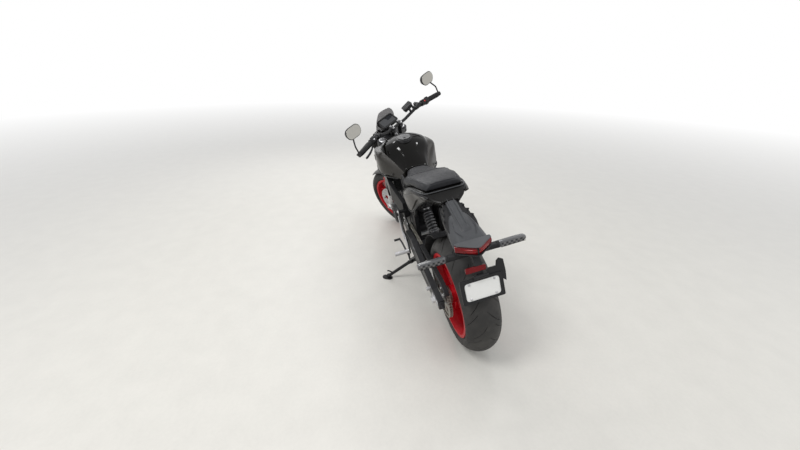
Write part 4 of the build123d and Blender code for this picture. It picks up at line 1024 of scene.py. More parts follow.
TANK_ROWS = (
    # x, top, shoulder, shoulder z, waist, waist z, foot, foot z
    (624, 842, 72, 830, 80, 812, 62, 792),
    (720, 905, 92, 876, 118, 842, 84, 770),
    (830, 966, 138, 925, 165, 885, 112, 775),
    (930, 984, 146, 942, 168, 895, 118, 785),
    (1020, 962, 100, 932, 122, 902, 88, 874),
)
CAP_SLOPE = math.radians(9.0)
CAP_UP = Vector((-math.sin(CAP_SLOPE), 0, math.cos(CAP_SLOPE)))
CAP_AHEAD = Vector((math.cos(CAP_SLOPE), 0, math.sin(CAP_SLOPE)))
CAP_SEAT = Vector((842, 0, 971))
tank = Piece("tank_skin", ["black_gloss"])
tank.rings(loft_rings(TANK_ROWS, lambda r: body_ring(r, (34.0, 26.0, 8.0)), 14, (8.0, 8.0)))
hole = []
for f in tank.bm.faces:
    off = f.calc_center_median() - CAP_SEAT
    if off.z > -30 and (off - CAP_UP * off.dot(CAP_UP)).length < 41:
        hole.append(f)
bmesh.ops.delete(tank.bm, geom=hole, context="FACES")
tank.done("black_gloss", ("fuel_tank",), angle=50)
RING_BOLTS = 42.4  # their distance from the middle
filler = Piece("filler_ring", ["alloy_dark", "dark_cavity", "alloy"])
filler.revolve(
    [(34.5, -30), (34.5, 2.6), (35.5, 3.8), (48.5, 3.8), (50, 2.6), (50, -14)], CAP_SEAT, CAP_UP,
    56, ends=False
)
# a near-black neck with a closed floor below the ring, painted shade inside the filler opening
filler.index = 1
filler.revolve([(35, -20), (35, -60), (1, -60)], CAP_SEAT, CAP_UP, 40, ends=False)
filler.index = 0
filler.slab(rect(8, 20), CAP_SEAT + CAP_AHEAD * 55 - CAP_UP * 6, CAP_AHEAD, LEFT, 10, 1.2, 3)
for y in (-15, 15):
    filler.revolve(
        [(2.6, -3), (4.9, -3), (5.5, -2.4), (5.5, 2.4), (4.9, 3), (2.6, 3)],
        CAP_SEAT + CAP_AHEAD * 53 + CAP_UP * 9 + LEFT * y, LEFT, 16, loop=True
    )
filler.index = 2
for k in range(5):
    a = math.radians(36 + 72 * k)
    across = CAP_AHEAD * RING_BOLTS * math.cos(a) + LEFT * RING_BOLTS * math.sin(a)
    filler.bolt(CAP_SEAT + across + CAP_UP * 2.4, CAP_UP, 2.6, 1.4, False)
filler.done("alloy_dark")
lid = Piece("fuel_cap_flap", ["alloy_dark", "dark_cavity"], "fuel_cap")
seat_at = CAP_SEAT + CAP_UP * 11.3
lid.slab(
    [(-17, -7), (13, -7), (17, 0), (13, 7), (-17, 7)], seat_at - CAP_AHEAD * 4, CAP_AHEAD, LEFT,
    3.2, 0.8, 5
)
# a thin near-black mark on the flap's top, painted shade of a slot
lid.index = 1
lid.slab(rect(6, 1), seat_at + CAP_UP * 3.1 - CAP_AHEAD * 4, CAP_AHEAD, LEFT, 0.3, 0.05)
lid.done("alloy_dark")

# Tank covers.

COVER_ROWS = (
    # x, then side and height of the four corners from the inner top to the inner foot
    (632, 66, 822, 92, 812, 112, 776, 84, 768),
    (720, 96, 858, 134, 846, 154, 778, 96, 762),
    (830, 138, 908, 196, 900, 194, 772, 120, 768),
    (930, 146, 920, 202, 908, 198, 764, 150, 762),
    (1040, 120, 914, 190, 902, 192, 752, 160, 750),
    (1105, 156, 868, 178, 858, 180, 784, 164, 778),
)
for side, label in SIDES:
    cover = Piece("tank_cover_" + label, ["dark_grey", "black_plastic", "alloy_dark"])

    def cover_ring(r):
        x, a, az, b, bz, c, cz, d, dz = r
        ring = [(x, side * a, az), (x, side * b, bz), (x, side * c, cz), (x, side * d, dz)]
        return rounded(ring, [4, 22, 16, 4], 6)

    cover.rings(loft_rings(COVER_ROWS, cover_ring, 8, (4.0, 8.0)))
    cover.index = 1
    lower = [
        (650, 116, 777), (760, 170, 770), (850, 193, 768), (940, 197, 761), (1030, 191, 750),
        (1096, 180, 778)
    ]
    cover.tube([(x, side * y, z) for x, y, z in lower], 5.0, 10, flat=0.8)
    cover.slab(
        [(0, -16), (56, -24), (62, 18), (6, 26)], (1030, side * 188.4, 828), FORE, SKY, -4 * side,
        1.5, 8
    )
    cover.index = 2
    for x, y, z in ((1082, 181.5, 838), (700, 146, 797), (1018, 192, 776)):
        cover.bolt((x, side * y, z), (0, side, 0.1), 5.5, 3.6)
    cover.done("dark_grey", ("tank_covers",) if side == 1 else (), angle=35)

# Seat cowl.

COWL_ROWS = (
    # x, top, shoulder, shoulder z, waist, waist z, foot, foot z
    (10, 848, 40, 846, 52, 838, 44, 828),
    (44, 859, 66, 856, 86, 846, 70, 834),
    (84, 874, 88, 871, 108, 858, 86, 830),
    (102, 880, 98, 877, 116, 863, 92, 824),
    (120, 882, 106, 879, 124, 864, 98, 814),
    (200, 870, 112, 867, 132, 850, 106, 772),
    (330, 838, 124, 834, 146, 806, 128, 684),
    (450, 796, 122, 792, 142, 764, 124, 666),
    (560, 785, 88, 782, 114, 756, 100, 682),
)
cowl = Piece("cowl_shell", ["cowl_black", "tail_grey"])
cowl.rings(loft_rings(COWL_ROWS, lambda r: body_ring(r, (8.0, 14.0, 8.0)), 8, (6.0, 4.0)))
cowl.index = 1
# the cowl's top edge: a raised bead in the lighter tail grey, whose colour paints the highlight along that edge
RIM = (
    (300, 138, 836), (220, 131, 856), (160, 124, 866), (118, 114, 870), (96, 104, 871),
    (83, 88, 872), (78, 50, 873.5)
)
highlight_strip = [(x, y, z + 1) for x, y, z in RIM]
cowl.tube(highlight_strip + [(x, -y, z) for x, y, z in highlight_strip[::-1]], [0.8, 2.6, 3.2, 3.2, 3.2, 2.6, 0.8], 10)
cowl.done("dark_grey", ("seat_cowl",), angle=40)
PANEL_ROWS = (
    # x, side and height of the upper edge, side and height of the lower edge
    (58, 113, 856, 100, 846),
    (100, 121, 861, 108, 838),
    (150, 129, 856, 117, 824),
    (200, 133, 844, 120, 800),
    (265, 141, 818, 128, 742),
    (330, 146, 794, 130, 690),
    (400, 146, 770, 129, 672),
    (450, 142, 752, 126, 668),
    (520, 127, 744, 114, 672),
    (556, 115, 742, 103, 684),
)
for side, label in SIDES:
    panel = Piece("side_panel_" + label, ["dark_grey", "black_plastic", "alloy_dark"])

    def panel_ring(r):
        x, a, az, b, bz = r
        ring = [
            (x, side * (a - 9), az + 2), (x, side * (a + 2.5), az - 2), (x, side * (b + 4), bz + 3),
            (x, side * (b - 8), bz)
        ]
        return rounded(ring, [1.5, 2.5, 3, 1.5], 3)

    panel.rings(loft_rings(PANEL_ROWS, panel_ring, 7, (3.0, 3.0)))
    panel.index = 1
    cheek = (
        # x, side and height of the upper edge, side and height of the foot
        (238, 134, 850, 135, 842),
        (214, 133, 856, 134, 845),
        (190, 132, 861, 133, 847),
        (165, 130, 865, 131, 848),
        (140, 127, 868, 128, 849),
        (115, 121, 869, 124, 849),
        (92, 112, 868, 118, 848),
        (74, 102, 864, 110, 847),
        (64, 95, 860, 102, 848),
    )

    def cheek_ring(r):
        x, a, az, b, bz = r
        ring = [
            (x, side * a, az - 2), (x, side * b, bz), (x, side * (b - 22), bz),
            (x, side * (a - 9), az)
        ]
        return rounded(ring, [7, 3, 2, 5], 4)

    panel.rings(loft_rings(cheek, cheek_ring, 6, (2.0, 2.0)))
    panel.tube(
        [
            (552, side * 106, 676), (470, side * 124, 662), (380, side * 129, 664),
            (290, side * 124, 706), (210, side * 110, 768), (140, side * 100, 808)
        ],
        3.4, 10
    )
    panel.index = 2
    panel.bolt((500, side * 134, 712), (0, side, 0.15), 5.0, 3.4)
    panel.done("dark_grey", angle=35)

BOX_Y = 104
box = Piece("side_box", ["black_plastic", "alloy_dark"])
for side in BOTH:
    face = [(548, 700), (548, 784), (628, 806), (664, 790), (664, 738), (604, 690)]
    box.slab(face, (0, side * BOX_Y, 0), FORE, SKY, 14 * side, 2.0, 10)
    for k in range(4):
        rib = [(566, 0), (640, 8), (640, 13), (566, 5)]
        box.slab(rib, (0, side * BOX_Y, 722 + 16 * k), FORE, SKY, -2.4 * side, 0.8)
    box.index = 1
    for x, z in ((560, 712), (560, 776), (652, 786)):
        box.bolt((x, side * BOX_Y, z), (0, side, 0), 5, 3.4)
    box.index = 0
box.done("black_plastic", angle=40)

# Rear suspension and drive.


END_TURN = 0.6


def coil(piece, start, end, radius, wire, turns):
    """A compression spring between two places, with its end turns closer together."""
    a, b = Vector(start), Vector(end)
    w = (b - a).normalized()
    u = w.orthogonal().normalized()
    v = w.cross(u)
    count = int(turns * 20)
    pts = []
    for k in range(count + 1):
        t = k / count
        n = t * turns
        low = min(n, 1.0) * END_TURN + max(0.0, n - 1.0)
        total = turns - 2 + 2 * END_TURN
        if n > turns - 1:
            low = (turns - 2) + END_TURN + (n - turns + 1) * END_TURN
        c = a + (b - a) * (low / total)
        ang = n * 2 * math.pi
        pts.append(c + (u * math.cos(ang) + v * math.sin(ang)) * radius)
    piece.tube(pts, wire, 10, smooth=False)


# The swingarm's cross member lies on the line between the hubs, ahead of the tyre.
MEMBER_X = REAR_RADIUS + 22 + 45
MEMBER_Z = REAR_RADIUS + (SPROCKET_HUB.z - REAR_RADIUS) * MEMBER_X / SPROCKET_HUB.x
SHOCK_LOW = Vector((398, 0, MEMBER_Z + 43.5))
SHOCK_HIGH = Vector((575, 0, 596))
run = (SHOCK_HIGH - SHOCK_LOW).normalized()
shock = Piece("shock_body", ["alloy_dark", "spring_grey", "alloy"])
shock.revolve(
    [
        (15, 2), (17, 6), (17, 26), (9, 30), (7, 34), (7, 120), (21, 121), (22, 124), (22, 214),
        (16, 220), (15, 232)
    ],
    SHOCK_LOW, run, 28
)
for h, r in ((30, 35), (186, 36)):
    shock.revolve(
        [(10, 0), (r - 2, 0), (r, 2), (r, 7), (r - 3, 9), (10, 9)], SHOCK_LOW + run * h, run, 36
    )
shock.index = 2
for h in (198, 208):
    shock.revolve(
        [(23, 0), (27, 0), (28, 1), (28, 7), (27, 8), (23, 8)], SHOCK_LOW + run * h, run, 16
    )
shock.index = 1
coil(shock, SHOCK_LOW + run * 44, SHOCK_LOW + run * 181, 28.5, 5.6, 7.5)
shock.done("alloy_dark", ("rear_shock",), angle=45)

guard = Piece("chain_guard", ["black_plastic", "alloy_dark"])
rows = []
for k in range(19):
    x = -98 + 428 * k / 18
    z = REAR_RADIUS + math.sqrt(125.7**2 - x * x) if x < 5 else 441.6 + 0.06 * (x - 5)
    drop = 34 - 14 * (k / 18)
    rows.append(
        [
            (x, 100, z), (x, 122.5, z), (x, 122.5, z - drop), (x, 119.5, z - drop),
            (x, 119.5, z - 3), (x, 100, z - 3)
        ]
    )
guard.rings(rows)
for x, low, high in ((42, 340, 416), (262, 398, 436)):
    guard.slab(
        [(-11, low), (11, low), (9, high), (-9, high)], (x, 119.6, 0), FORE, SKY, 3.2, 0.6, 3
    )
guard.index = 1
for x, z in ((42, 420), (262, 443)):
    guard.bolt((x, 122.4, z), LEFT, 5, 3.4)
guard.done("black_plastic")

arm = Piece("swingarm_fittings", ["alloy", "alloy_dark", "black_plastic"])
for side in BOTH:
    out_y = side * 156.2
    arm.index = 0
    arm.slab(
        [(-54, -17), (40, -17), (44, 0), (40, 17), (-54, 17)], (0, out_y, REAR_RADIUS), FORE, SKY,
        -4.5 * side, 1.2, 5
    )
    arm.revolve(
        [(20, 0), (20, 4), (17.5, 8), (17, 14), (8, 15), (7, 13)], (0, side * 160, REAR_RADIUS),
        (0, side, 0), 6, ends=True
    )
    for k in range(7):
        arm.slab(
            [(-0.5, 0), (0.5, 0), (0.5, 7 if k % 3 else 10), (-0.5, 7 if k % 3 else 10)],
            (-44 + 6 * k, out_y + side * 4.4, REAR_RADIUS + 3), FORE, SKY, -0.4 * side, 0.1
        )
    arm.index = 1
    arm.slab(rect(15, 22), (-62, side * 140, REAR_RADIUS), (0, 1, 0), (0, 0, 1), -7, 1.5, 5)
    arm.bolt((-68, side * 140, REAR_RADIUS), (-1, 0, 0), 7, 6)
    arm.revolve([(4, 0), (4, 26)], (-70, side * 140, REAR_RADIUS), (-1, 0, 0), 10)
    arm.revolve(
        [(17, 0), (18, 1.5), (18, 6), (12, 8), (11, 5)], (545, side * 161.2, 408), (0, side, 0), 24
    )
    arm.index = 2
    arm.slab(
        [(120, 314), (300, 322), (440, 352), (436, 366), (296, 338), (120, 330)],
        (0, out_y - side * 0.6, 0), FORE, SKY, -1.6 * side, 0.7, 4
    )
arm.done("alloy_dark")

# Wheel fittings.

WEIGHTS_AT = 2.2
for name, body, hub, disc_y, band_r, sides in (
    ("rear_wheel_fittings", "rear_wheel", REAR_HUB, REAR_DISC_Y, 90.0, (-1,)),
    ("front_wheel_fittings", "front_wheel", FRONT_HUB, FRONT_DISC_Y, 117.0, (1, -1)),
):
    trim = Piece(name, ["alloy", "black_plastic", "alloy_dark"], body)
    for side in sides:
        for k in range(6):
            a = math.radians(60 * k + 12)
            ray = spoke(a)
            trim.index = 0
            trim.bolt(hub + ray * 50.0 + LEFT * side * (disc_y + 0.8), LEFT * side, 5.5, 5)
            trim.index = 2
            trim.revolve(
                [(7, -3.6), (8, -3), (8, 3), (7, 3.6), (3, 3.6)],
                hub + ray * band_r + LEFT * side * disc_y, LEFT * side, 16
            )
    trim.index = 1
    a = math.radians(38)
    ray = spoke(a)
    trim.revolve(
        [(4.2, -2), (4.2, 8), (3.0, 10), (3.0, 26), (3.8, 27), (3.8, 35), (3, 36)],
        hub + ray * 199 + LEFT * 16, -ray + LEFT * 0.35, 12
    )
    trim.index = 0
    for k in range(3):
        trim.slab(
            rect(6, 4), hub + spoke(WEIGHTS_AT + 0.07 * k) * 199.2, LEFT,
            Vector((math.cos(WEIGHTS_AT), 0, -math.sin(WEIGHTS_AT))), 1.6, 0.5, 1.5
        )
    if body == "rear_wheel":
        for k in range(5):
            a = math.radians(72 * k + 36)
            ray = spoke(a)
            trim.bolt(hub + ray * 44 + LEFT * 110.2, LEFT, 6.0, 4.5)
    trim.done("alloy")

# Engine.

engine = Piece("engine_fittings", ["engine_black", "alloy_dark", "alloy", "black_plastic"])
for side, x, r, face in ((1, 925, 88, 155), (-1, 850, 105, 161)):
    centre = Vector((x, side * 95, 425))
    out = LEFT * side
    engine.index = 0
    engine.revolve([(r + 9, -2), (r + 9, 7), (r + 6, 10), (r - 2, 10)], centre, out, 48)
    engine.revolve(
        [(r - 24, 58), (r - 22, 62), (r - 30, 66), (r - 44, 66.5), (r - 46, 62)],
        centre + out * (face - 155), out, 40
    )
    for k in range(9):
        a = 2 * math.pi * k / 9 + 0.2
        at = centre + bearing(a) * (r + 3)
        engine.index = 2
        engine.bolt(at + out * 8, out, 5, 5, False)
        engine.index = 1
        engine.revolve([(8, 0), (8, 9), (7, 10)], at, out, 14)
    engine.index = 2
    for k in range(3):
        a = 2 * math.pi * k / 3 + 0.5
        engine.bolt(centre + bearing(a) * (r - 37) + out * (face - 155 + 64), out, 4, 3.5, False)
engine.index = 1
engine.revolve([(17, 0), (18, 2), (18, 10), (15, 13), (4, 13)], (770, -95, 500), (0, -1, 0), 12)
engine.index = 0
for y in (-60, -30, 0, 30, 60):
    engine.slab(
        [(688, 262), (910, 266), (990, 318), (960, 310), (905, 280), (700, 276)], (0, y, 0), FORE,
        SKY, -4, 1.0
    )
for side in BOTH:
    for x in range(690, 1000, 34):
        top = 548 + (x - 720) * 0.28 if x < 905 else 600 - (x - 905) * 0.5
        engine.slab(
            [(-2.4, -30), (2.4, -30), (2.4, 0), (-2.4, 0)], (x, side * 94.6, top - 12), FORE, SKY,
            -5 * side, 1.0
        )
    engine.tube(
        [
            (672, side * 96, 318), (760, side * 96.5, 372), (900, side * 96.5, 372),
            (1012, side * 96, 420)
        ],
        2.6, 8, smooth=False
    )
engine.index = 3
engine.slab(
    [(592, 352), (592, 486), (640, 505), (698, 490), (706, 420), (696, 352), (650, 337)],
    (0, 118.2, 0), FORE, SKY, -9, 2.0, 14
)
engine.index = 2
for x, z in ((602, 364), (602, 476), (690, 480), (690, 362)):
    engine.bolt((x, 127, z), LEFT, 5.5, 4.5)
engine.index = 1
engine.revolve(
    [(33, 0), (34, 3), (34, 62), (30, 68), (10, 69)], (1004, 0, 372), (0.95, 0, -0.3), 24
)
TILT = math.radians(20)
HEAD_UP = Vector((math.sin(TILT), 0, math.cos(TILT)))
HEAD_AHEAD = Vector((math.cos(TILT), 0, -math.sin(TILT)))
base = Vector((880, 0, 600))
COVER_TOP = 144
engine.index = 0
engine.slab(rect(62, 126), base + HEAD_UP * 129, HEAD_AHEAD, LEFT, 16, 5, 18)
engine.index = 1
for a in (-54, 54):
    for y in (-114, -40, 40, 114):
        engine.bolt(base + HEAD_UP * COVER_TOP + HEAD_AHEAD * a + LEFT * y, HEAD_UP, 5, 5)
for y in (-78, 0, 78):
    engine.revolve(
        [(15, 0), (15, 12), (11, 17), (10, 26)], base + HEAD_UP * COVER_TOP + LEFT * y, HEAD_UP, 20
    )
engine.done("engine_black", angle=35)

# Exhaust and radiator.

pipe = Piece("exhaust_fittings", ["exhaust_steel", "alloy_dark", "dark_cavity"])
PORT = base + HEAD_UP * 105 + HEAD_AHEAD * 73.3
for y in (-90, 0, 90):
    at = PORT + LEFT * y
    pipe.slab(
        [(-36, 0), (-14, -24), (14, -24), (36, 0), (14, 24), (-14, 24)], at + HEAD_AHEAD, LEFT,
        HEAD_UP, 8, 1.4, 8
    )
    for side in BOTH:
        pipe.bolt(at + LEFT * side * 27 + HEAD_AHEAD * 8, HEAD_AHEAD, 5.5, 8)
    pipe.revolve(
        [(18.6, 0), (20, 1), (20, 12), (18.6, 13)], at + HEAD_AHEAD * 20, HEAD_AHEAD, 24, ends=False
    )
MUFFLER = 270
tip = Vector((470 - MUFFLER * 0.998, -176, 210 + MUFFLER * 0.06))
back = Vector((-0.998, 0, 0.06))
side_up = Vector((0.06, 0, 0.998))


def oval(place, a, b):
    angles = [2 * math.pi * k / 40 for k in range(40)]
    return [place + LEFT * (a * math.cos(t)) + side_up * (b * math.sin(t)) for t in angles]


CAP_END = ((-14, 39, 46), (-12, 40, 47), (2, 40, 47), (5, 37, 44), (5, 24, 30), (1, 22, 28))
BAND = ((-250, 39, 46), (-248, 40, 47), (-236, 40, 47), (-234, 39, 46))
pipe.rings([oval(tip + back * d, a, b) for d, a, b in CAP_END], end=False)
pipe.rings([oval(tip + back * d, a, b) for d, a, b in BAND], start=False, end=False)
# a near-black disc across the outlet, painted shade inside the pipe
pipe.index = 2
pipe.rings([oval(tip + back * 1.2, 23, 29), oval(tip - back, 22, 28)])
pipe.index = 0
pipe.revolve(
    [(15, -6), (17, -6), (17, 12), (15.5, 13), (15, 12)], tip + back * 2 + side_up * 4, back, 28,
    loop=True
)
pipe.index = 1
shield = []
for h in (40, 44, 196, 200):
    ring = []
    for k in range(13):
        a = math.radians(150 + 60 * k / 12)
        r = 1.0 if h in (40, 200) else 1.06
        ring.append(
            tip - back * h + LEFT * (40 * r * math.cos(a)) + side_up * (47 * r * math.sin(a))
        )
    shield.append(ring)
pipe.rings(shield, closed=False)
for h in (56, 184):
    pipe.bolt(tip - back * h - LEFT * 42.4, -LEFT, 5, 4)
for x in (640, 740, 835):
    pipe.slab(
        [(-88, -36), (-62, -41), (62, -41), (88, -36), (88, 36), (62, 41), (-62, 41), (-88, 36)],
        (x, 0, 205), LEFT, (0, 0, 1), 4, 1.0, 18
    )
pipe.done("exhaust_steel", angle=45)

cooler = Piece("radiator_core", ["alloy_dark", "black_plastic", "alloy"])
CORE = Vector((1098, 0, 609.9))
CORE_OUT = Vector((1, 0, 0.12)).normalized()
CORE_UP = Vector((-0.12, 0, 1)).normalized()
for k in range(44):
    z = -98 + 196 * k / 43
    cooler.slab(rect(122, 0.7), CORE + CORE_UP * z + CORE_OUT * 15.8, LEFT, CORE_UP, 2.4, 0.2)
for k in range(25):
    y = -120 + 10 * k
    cooler.slab(rect(0.8, 100), CORE + LEFT * y + CORE_OUT * 15.6, LEFT, CORE_UP, 2.0, 0.2)
cooler.index = 1
for y in (-136, 136):
    cooler.slab(rect(13, 108), CORE + LEFT * y + CORE_OUT * 16, LEFT, CORE_UP, 5, 1.5, 6)
for z in (-108, 108):
    cooler.slab(rect(146, 6), CORE + CORE_UP * z + CORE_OUT * 16, LEFT, CORE_UP, 5, 1.5, 4)
cooler.revolve(
    [(78, 0), (80, 2), (80, 18), (74, 20), (72, 16), (72, 0)], CORE - CORE_OUT * 17, -CORE_OUT, 40,
    loop=True
)
for k in range(5):
    a = 2 * math.pi * k / 5
    ray = LEFT * math.cos(a) + CORE_UP * math.sin(a)
    turn = LEFT * -math.sin(a) + CORE_UP * math.cos(a)
    cooler.slab(
        [(14, -9), (70, -16), (70, 10), (14, 7)], CORE - CORE_OUT * 26, ray, turn, -2, 0.6, 4
    )
cooler.revolve([(18, 0), (20, 3), (20, 16), (14, 19)], CORE - CORE_OUT * 17, -CORE_OUT, 24)
cooler.index = 2
cooler.revolve(
    [(16, 0), (17, 2), (17, 9), (14, 11)], CORE + LEFT * 110 + CORE_UP * 114, CORE_UP, 18
)
cooler.done("engine_black", angle=35)

# Footrests.

PEG_X, PEG_Z = 476, 350
HANGER_OUT = 170  # the hangers' outer face
HANGER = [
    (596, 590), (640, 580), (600, 470), (520, 372), (486, 330), (462, 330), (458, 372), (530, 452)
]
SLOT = [(590, 566), (614, 560), (584, 486), (548, 446)]
hanger = Piece("footrest_hangers", ["black_frame", "alloy", "alloy_dark"])
for side in BOTH:
    out = LEFT * side
    hanger.index = 0
    hanger.slab(
        HANGER, (0, side * (HANGER_OUT - 8), 0), FORE, SKY, -8 * side, 1.4,
        [14, 16, 40, 40, 12, 12, 14, 40], 5
    )
    hanger.index = 2
    hanger.slab(SLOT, (0, side * HANGER_OUT, 0), FORE, SKY, -0.9 * side, 0.4, [9, 9, 9, 9])
    hanger.index = 1
    heel = [(470, 372), (512, 366), (548, 410), (552, 452), (524, 448), (476, 400)]
    hanger.slab(heel, (0, side * (HANGER_OUT + 0.6), 0), FORE, SKY, -3 * side, 0.9, 9)
    hanger.tube([(604, side * 176, 548), (566, side * 177, 470), (524, side * 177, 408)], 3.4, 10)
    hanger.tube([(622, side * 170, 520), (590, side * 172, 446), (556, side * 172, 392)], 3.0, 10)
    hanger.revolve([(12, 0), (12, 95)], (PEG_X, side * HANGER_OUT, PEG_Z), out, 24)
    hanger.index = 0
    hanger.revolve([(12, 0), (12, 51)], (630, side * 112, 560), out, 24)
hanger.done("black_frame", ("footrests",), angle=40)

step = Piece("footrest_fittings", ["alloy", "rubber", "alloy_dark"])
for side in BOTH:
    out = LEFT * side
    step.index = 0
    for k in range(9):
        step.revolve(
            [(12.2, 0), (13.6, 0.6), (13.6, 4.4), (12.2, 5)],
            Vector((PEG_X, side * (184 + 8 * k), PEG_Z)), out, 20
        )
    step.revolve([(12.5, 0), (14, 1), (14, 5), (11, 7)], (PEG_X, side * 258, PEG_Z), out, 20)
    step.revolve([(15, 0), (16, 1.5), (16, 9), (14, 10)], (PEG_X, side * 168, PEG_Z), out, 24)
    for x, z in ((604, 572), (628, 566)):
        step.bolt((x, side * HANGER_OUT, z), out, 7, 5)
step.index = 2
lever = [(480, 178, 322), (520, 180, 318), (580, 182, 322), (640, 186, 334), (668, 192, 342)]
step.tube(lever, [8, 6.5, 6, 6, 6.5], 12)
step.tube([(668, 186, 342), (668, 230, 342)], 8, 14, smooth=False)
step.tube([(484, 178, 320), (470, 178, 288)], 6, 10, smooth=False)
step.index = 0
step.tube([(470, 178, 290), (560, 150, 352), (640, 134, 396)], 3.6, 10, smooth=False)
step.tube(
    [(470, -182, 330), (540, -186, 312), (620, -188, 314), (668, -190, 326)], [8, 7, 6, 6], 12
)
step.tube([(668, -178, 326), (668, -214, 326)], 8, 14, smooth=False)
step.index = 2
step.revolve([(16, 0), (17, 1), (17, 40), (14, 42)], (520, -150, 420), (0.35, 0, 0.94), 20)
step.done("alloy", angle=40)

# Side stand.

stand = Piece("stand_fittings", ["black_frame", "rubber"], "side_stand", WORLD)
PIVOT_AT = Vector(joint["stand_fold"]["pos_m"]) * 1000
FOOT_AT = PIVOT_AT + Vector((96, 170, -PIVOT_AT.z + 12))
leg = (FOOT_AT - PIVOT_AT).normalized()
mid = PIVOT_AT.lerp(FOOT_AT, 0.80)
stand.tube([mid, mid + Vector((6, 22, 12)), mid + Vector((4, 40, 20))], 4.6, 10)
stand.revolve([(11.4, 0), (14, 6), (14, 10), (11.6, 14)], PIVOT_AT + leg * 50, leg, 20, ends=False)
stand.revolve([(11.4, 0), (15, 5), (16, 12), (16, 16)], FOOT_AT - leg * 22, leg, 20, ends=False)
stand.index = 1
stand.slab(
    rect(31, 17), (FOOT_AT.x + 1, FOOT_AT.y + 1.5, 0.2), (leg.x, leg.y, 0), (-leg.y, leg.x, 0), 2.0,
    0.5, 15
)
stand.done("black_frame")

# Fork and steering head.

UPPER, LOWER, YOKE = 992.0, 800.0, 34.0
YOKE_TOP = UPPER + YOKE
front = Piece("fork_fittings", ["alloy", "alloy_dark", "black_plastic", "lens_bright"], "steering")
for side in BOTH:
    y = side * FORK_Y
    front.index = 0
    front.revolve(
        [(25, 0), (25.5, 1), (25.5, 5), (23, 7), (15, 7.5), (14, 5), (0, 5)],
        forkpoint(FORK_AHEAD, y, YOKE_TOP + 5.6), UP, 32
    )
    front.revolve(
        [(9, 0), (9, 10), (7, 12), (3, 12)], forkpoint(FORK_AHEAD, y, YOKE_TOP + 10), UP, 6
    )
    front.index = 2
    front.revolve(
        [(27.2, 0), (29.5, 2), (29.5, 16), (24, 22), (22, 24)], forkpoint(FORK_AHEAD, y, 560), -UP,
        32, ends=False
    )
    front.index = 1
    for h in (LOWER + 10, LOWER + 25, UPPER + 17):
        front.bolt(forkpoint(FORK_AHEAD - 36, y + side * 6, h), -AHEAD, 6, 6)
    front.index = 0
    front.revolve(
        [(21.9, 0), (23.5, 2), (23.5, 22), (21.9, 25)], forkpoint(FORK_AHEAD, y, 372), UP, 28,
        ends=False
    )
    axle = FRONT_HUB + LEFT * (side * 127)
    front.revolve(
        [(24, 0), (24, 4), (20, 9), (13, 10), (12, 6)], axle, LEFT * side, 6 if side == 1 else 28
    )
    for k in (-1, 1):
        front.bolt(FRONT_HUB + Vector((-33, side * (FORK_Y + 10 * k), -8)), (-1, 0, -0.1), 5, 5)
    front.index = 3
    front.revolve(
        [(19, 0), (20, 1), (20, 6), (18, 7.4)], forkpoint(FORK_AHEAD, y + side * 26, 660),
        LEFT * side, 28
    )
front.index = 0
front.revolve([(22, 0), (22, 8), (20, 10), (12, 10), (11, 7)], forkpoint(0, 0, YOKE_TOP), UP, 6)
front.index = 1
front.revolve(
    [(17, 0), (17, 16), (15, 18), (13, 18), (12.6, 16)], forkpoint(46, 0, YOKE_TOP), UP, 28
)
front.slab(rect(1.4, 5), forkpoint(46, 0, YOKE_TOP + 16.4), AHEAD, LEFT, 0.8, 0.1)
front.done("alloy_dark", angle=40)

BAR_END = Vector((1016, 413, 1033))
BAR_BEND = Vector((1046, 228, 1046))
BAR_MIDDLE = Vector((1098, 90, 1004))
inward = (BAR_BEND - BAR_END).normalized()


def on_side(side, place):
    return Vector((place.x, place.y * side, place.z))


def outer_run(side, along, ahead=0.0, rise=0.0):
    """A place near the grip, measured from the bar's end inward."""
    return on_side(side, BAR_END + inward * along + Vector((ahead, 0, rise)))


def inner_run(side, share, ahead=0.0, rise=0.0):
    """A place near the bar between its bend and its middle."""
    return on_side(side, BAR_BEND.lerp(BAR_MIDDLE, share) + Vector((ahead, 0, rise)))


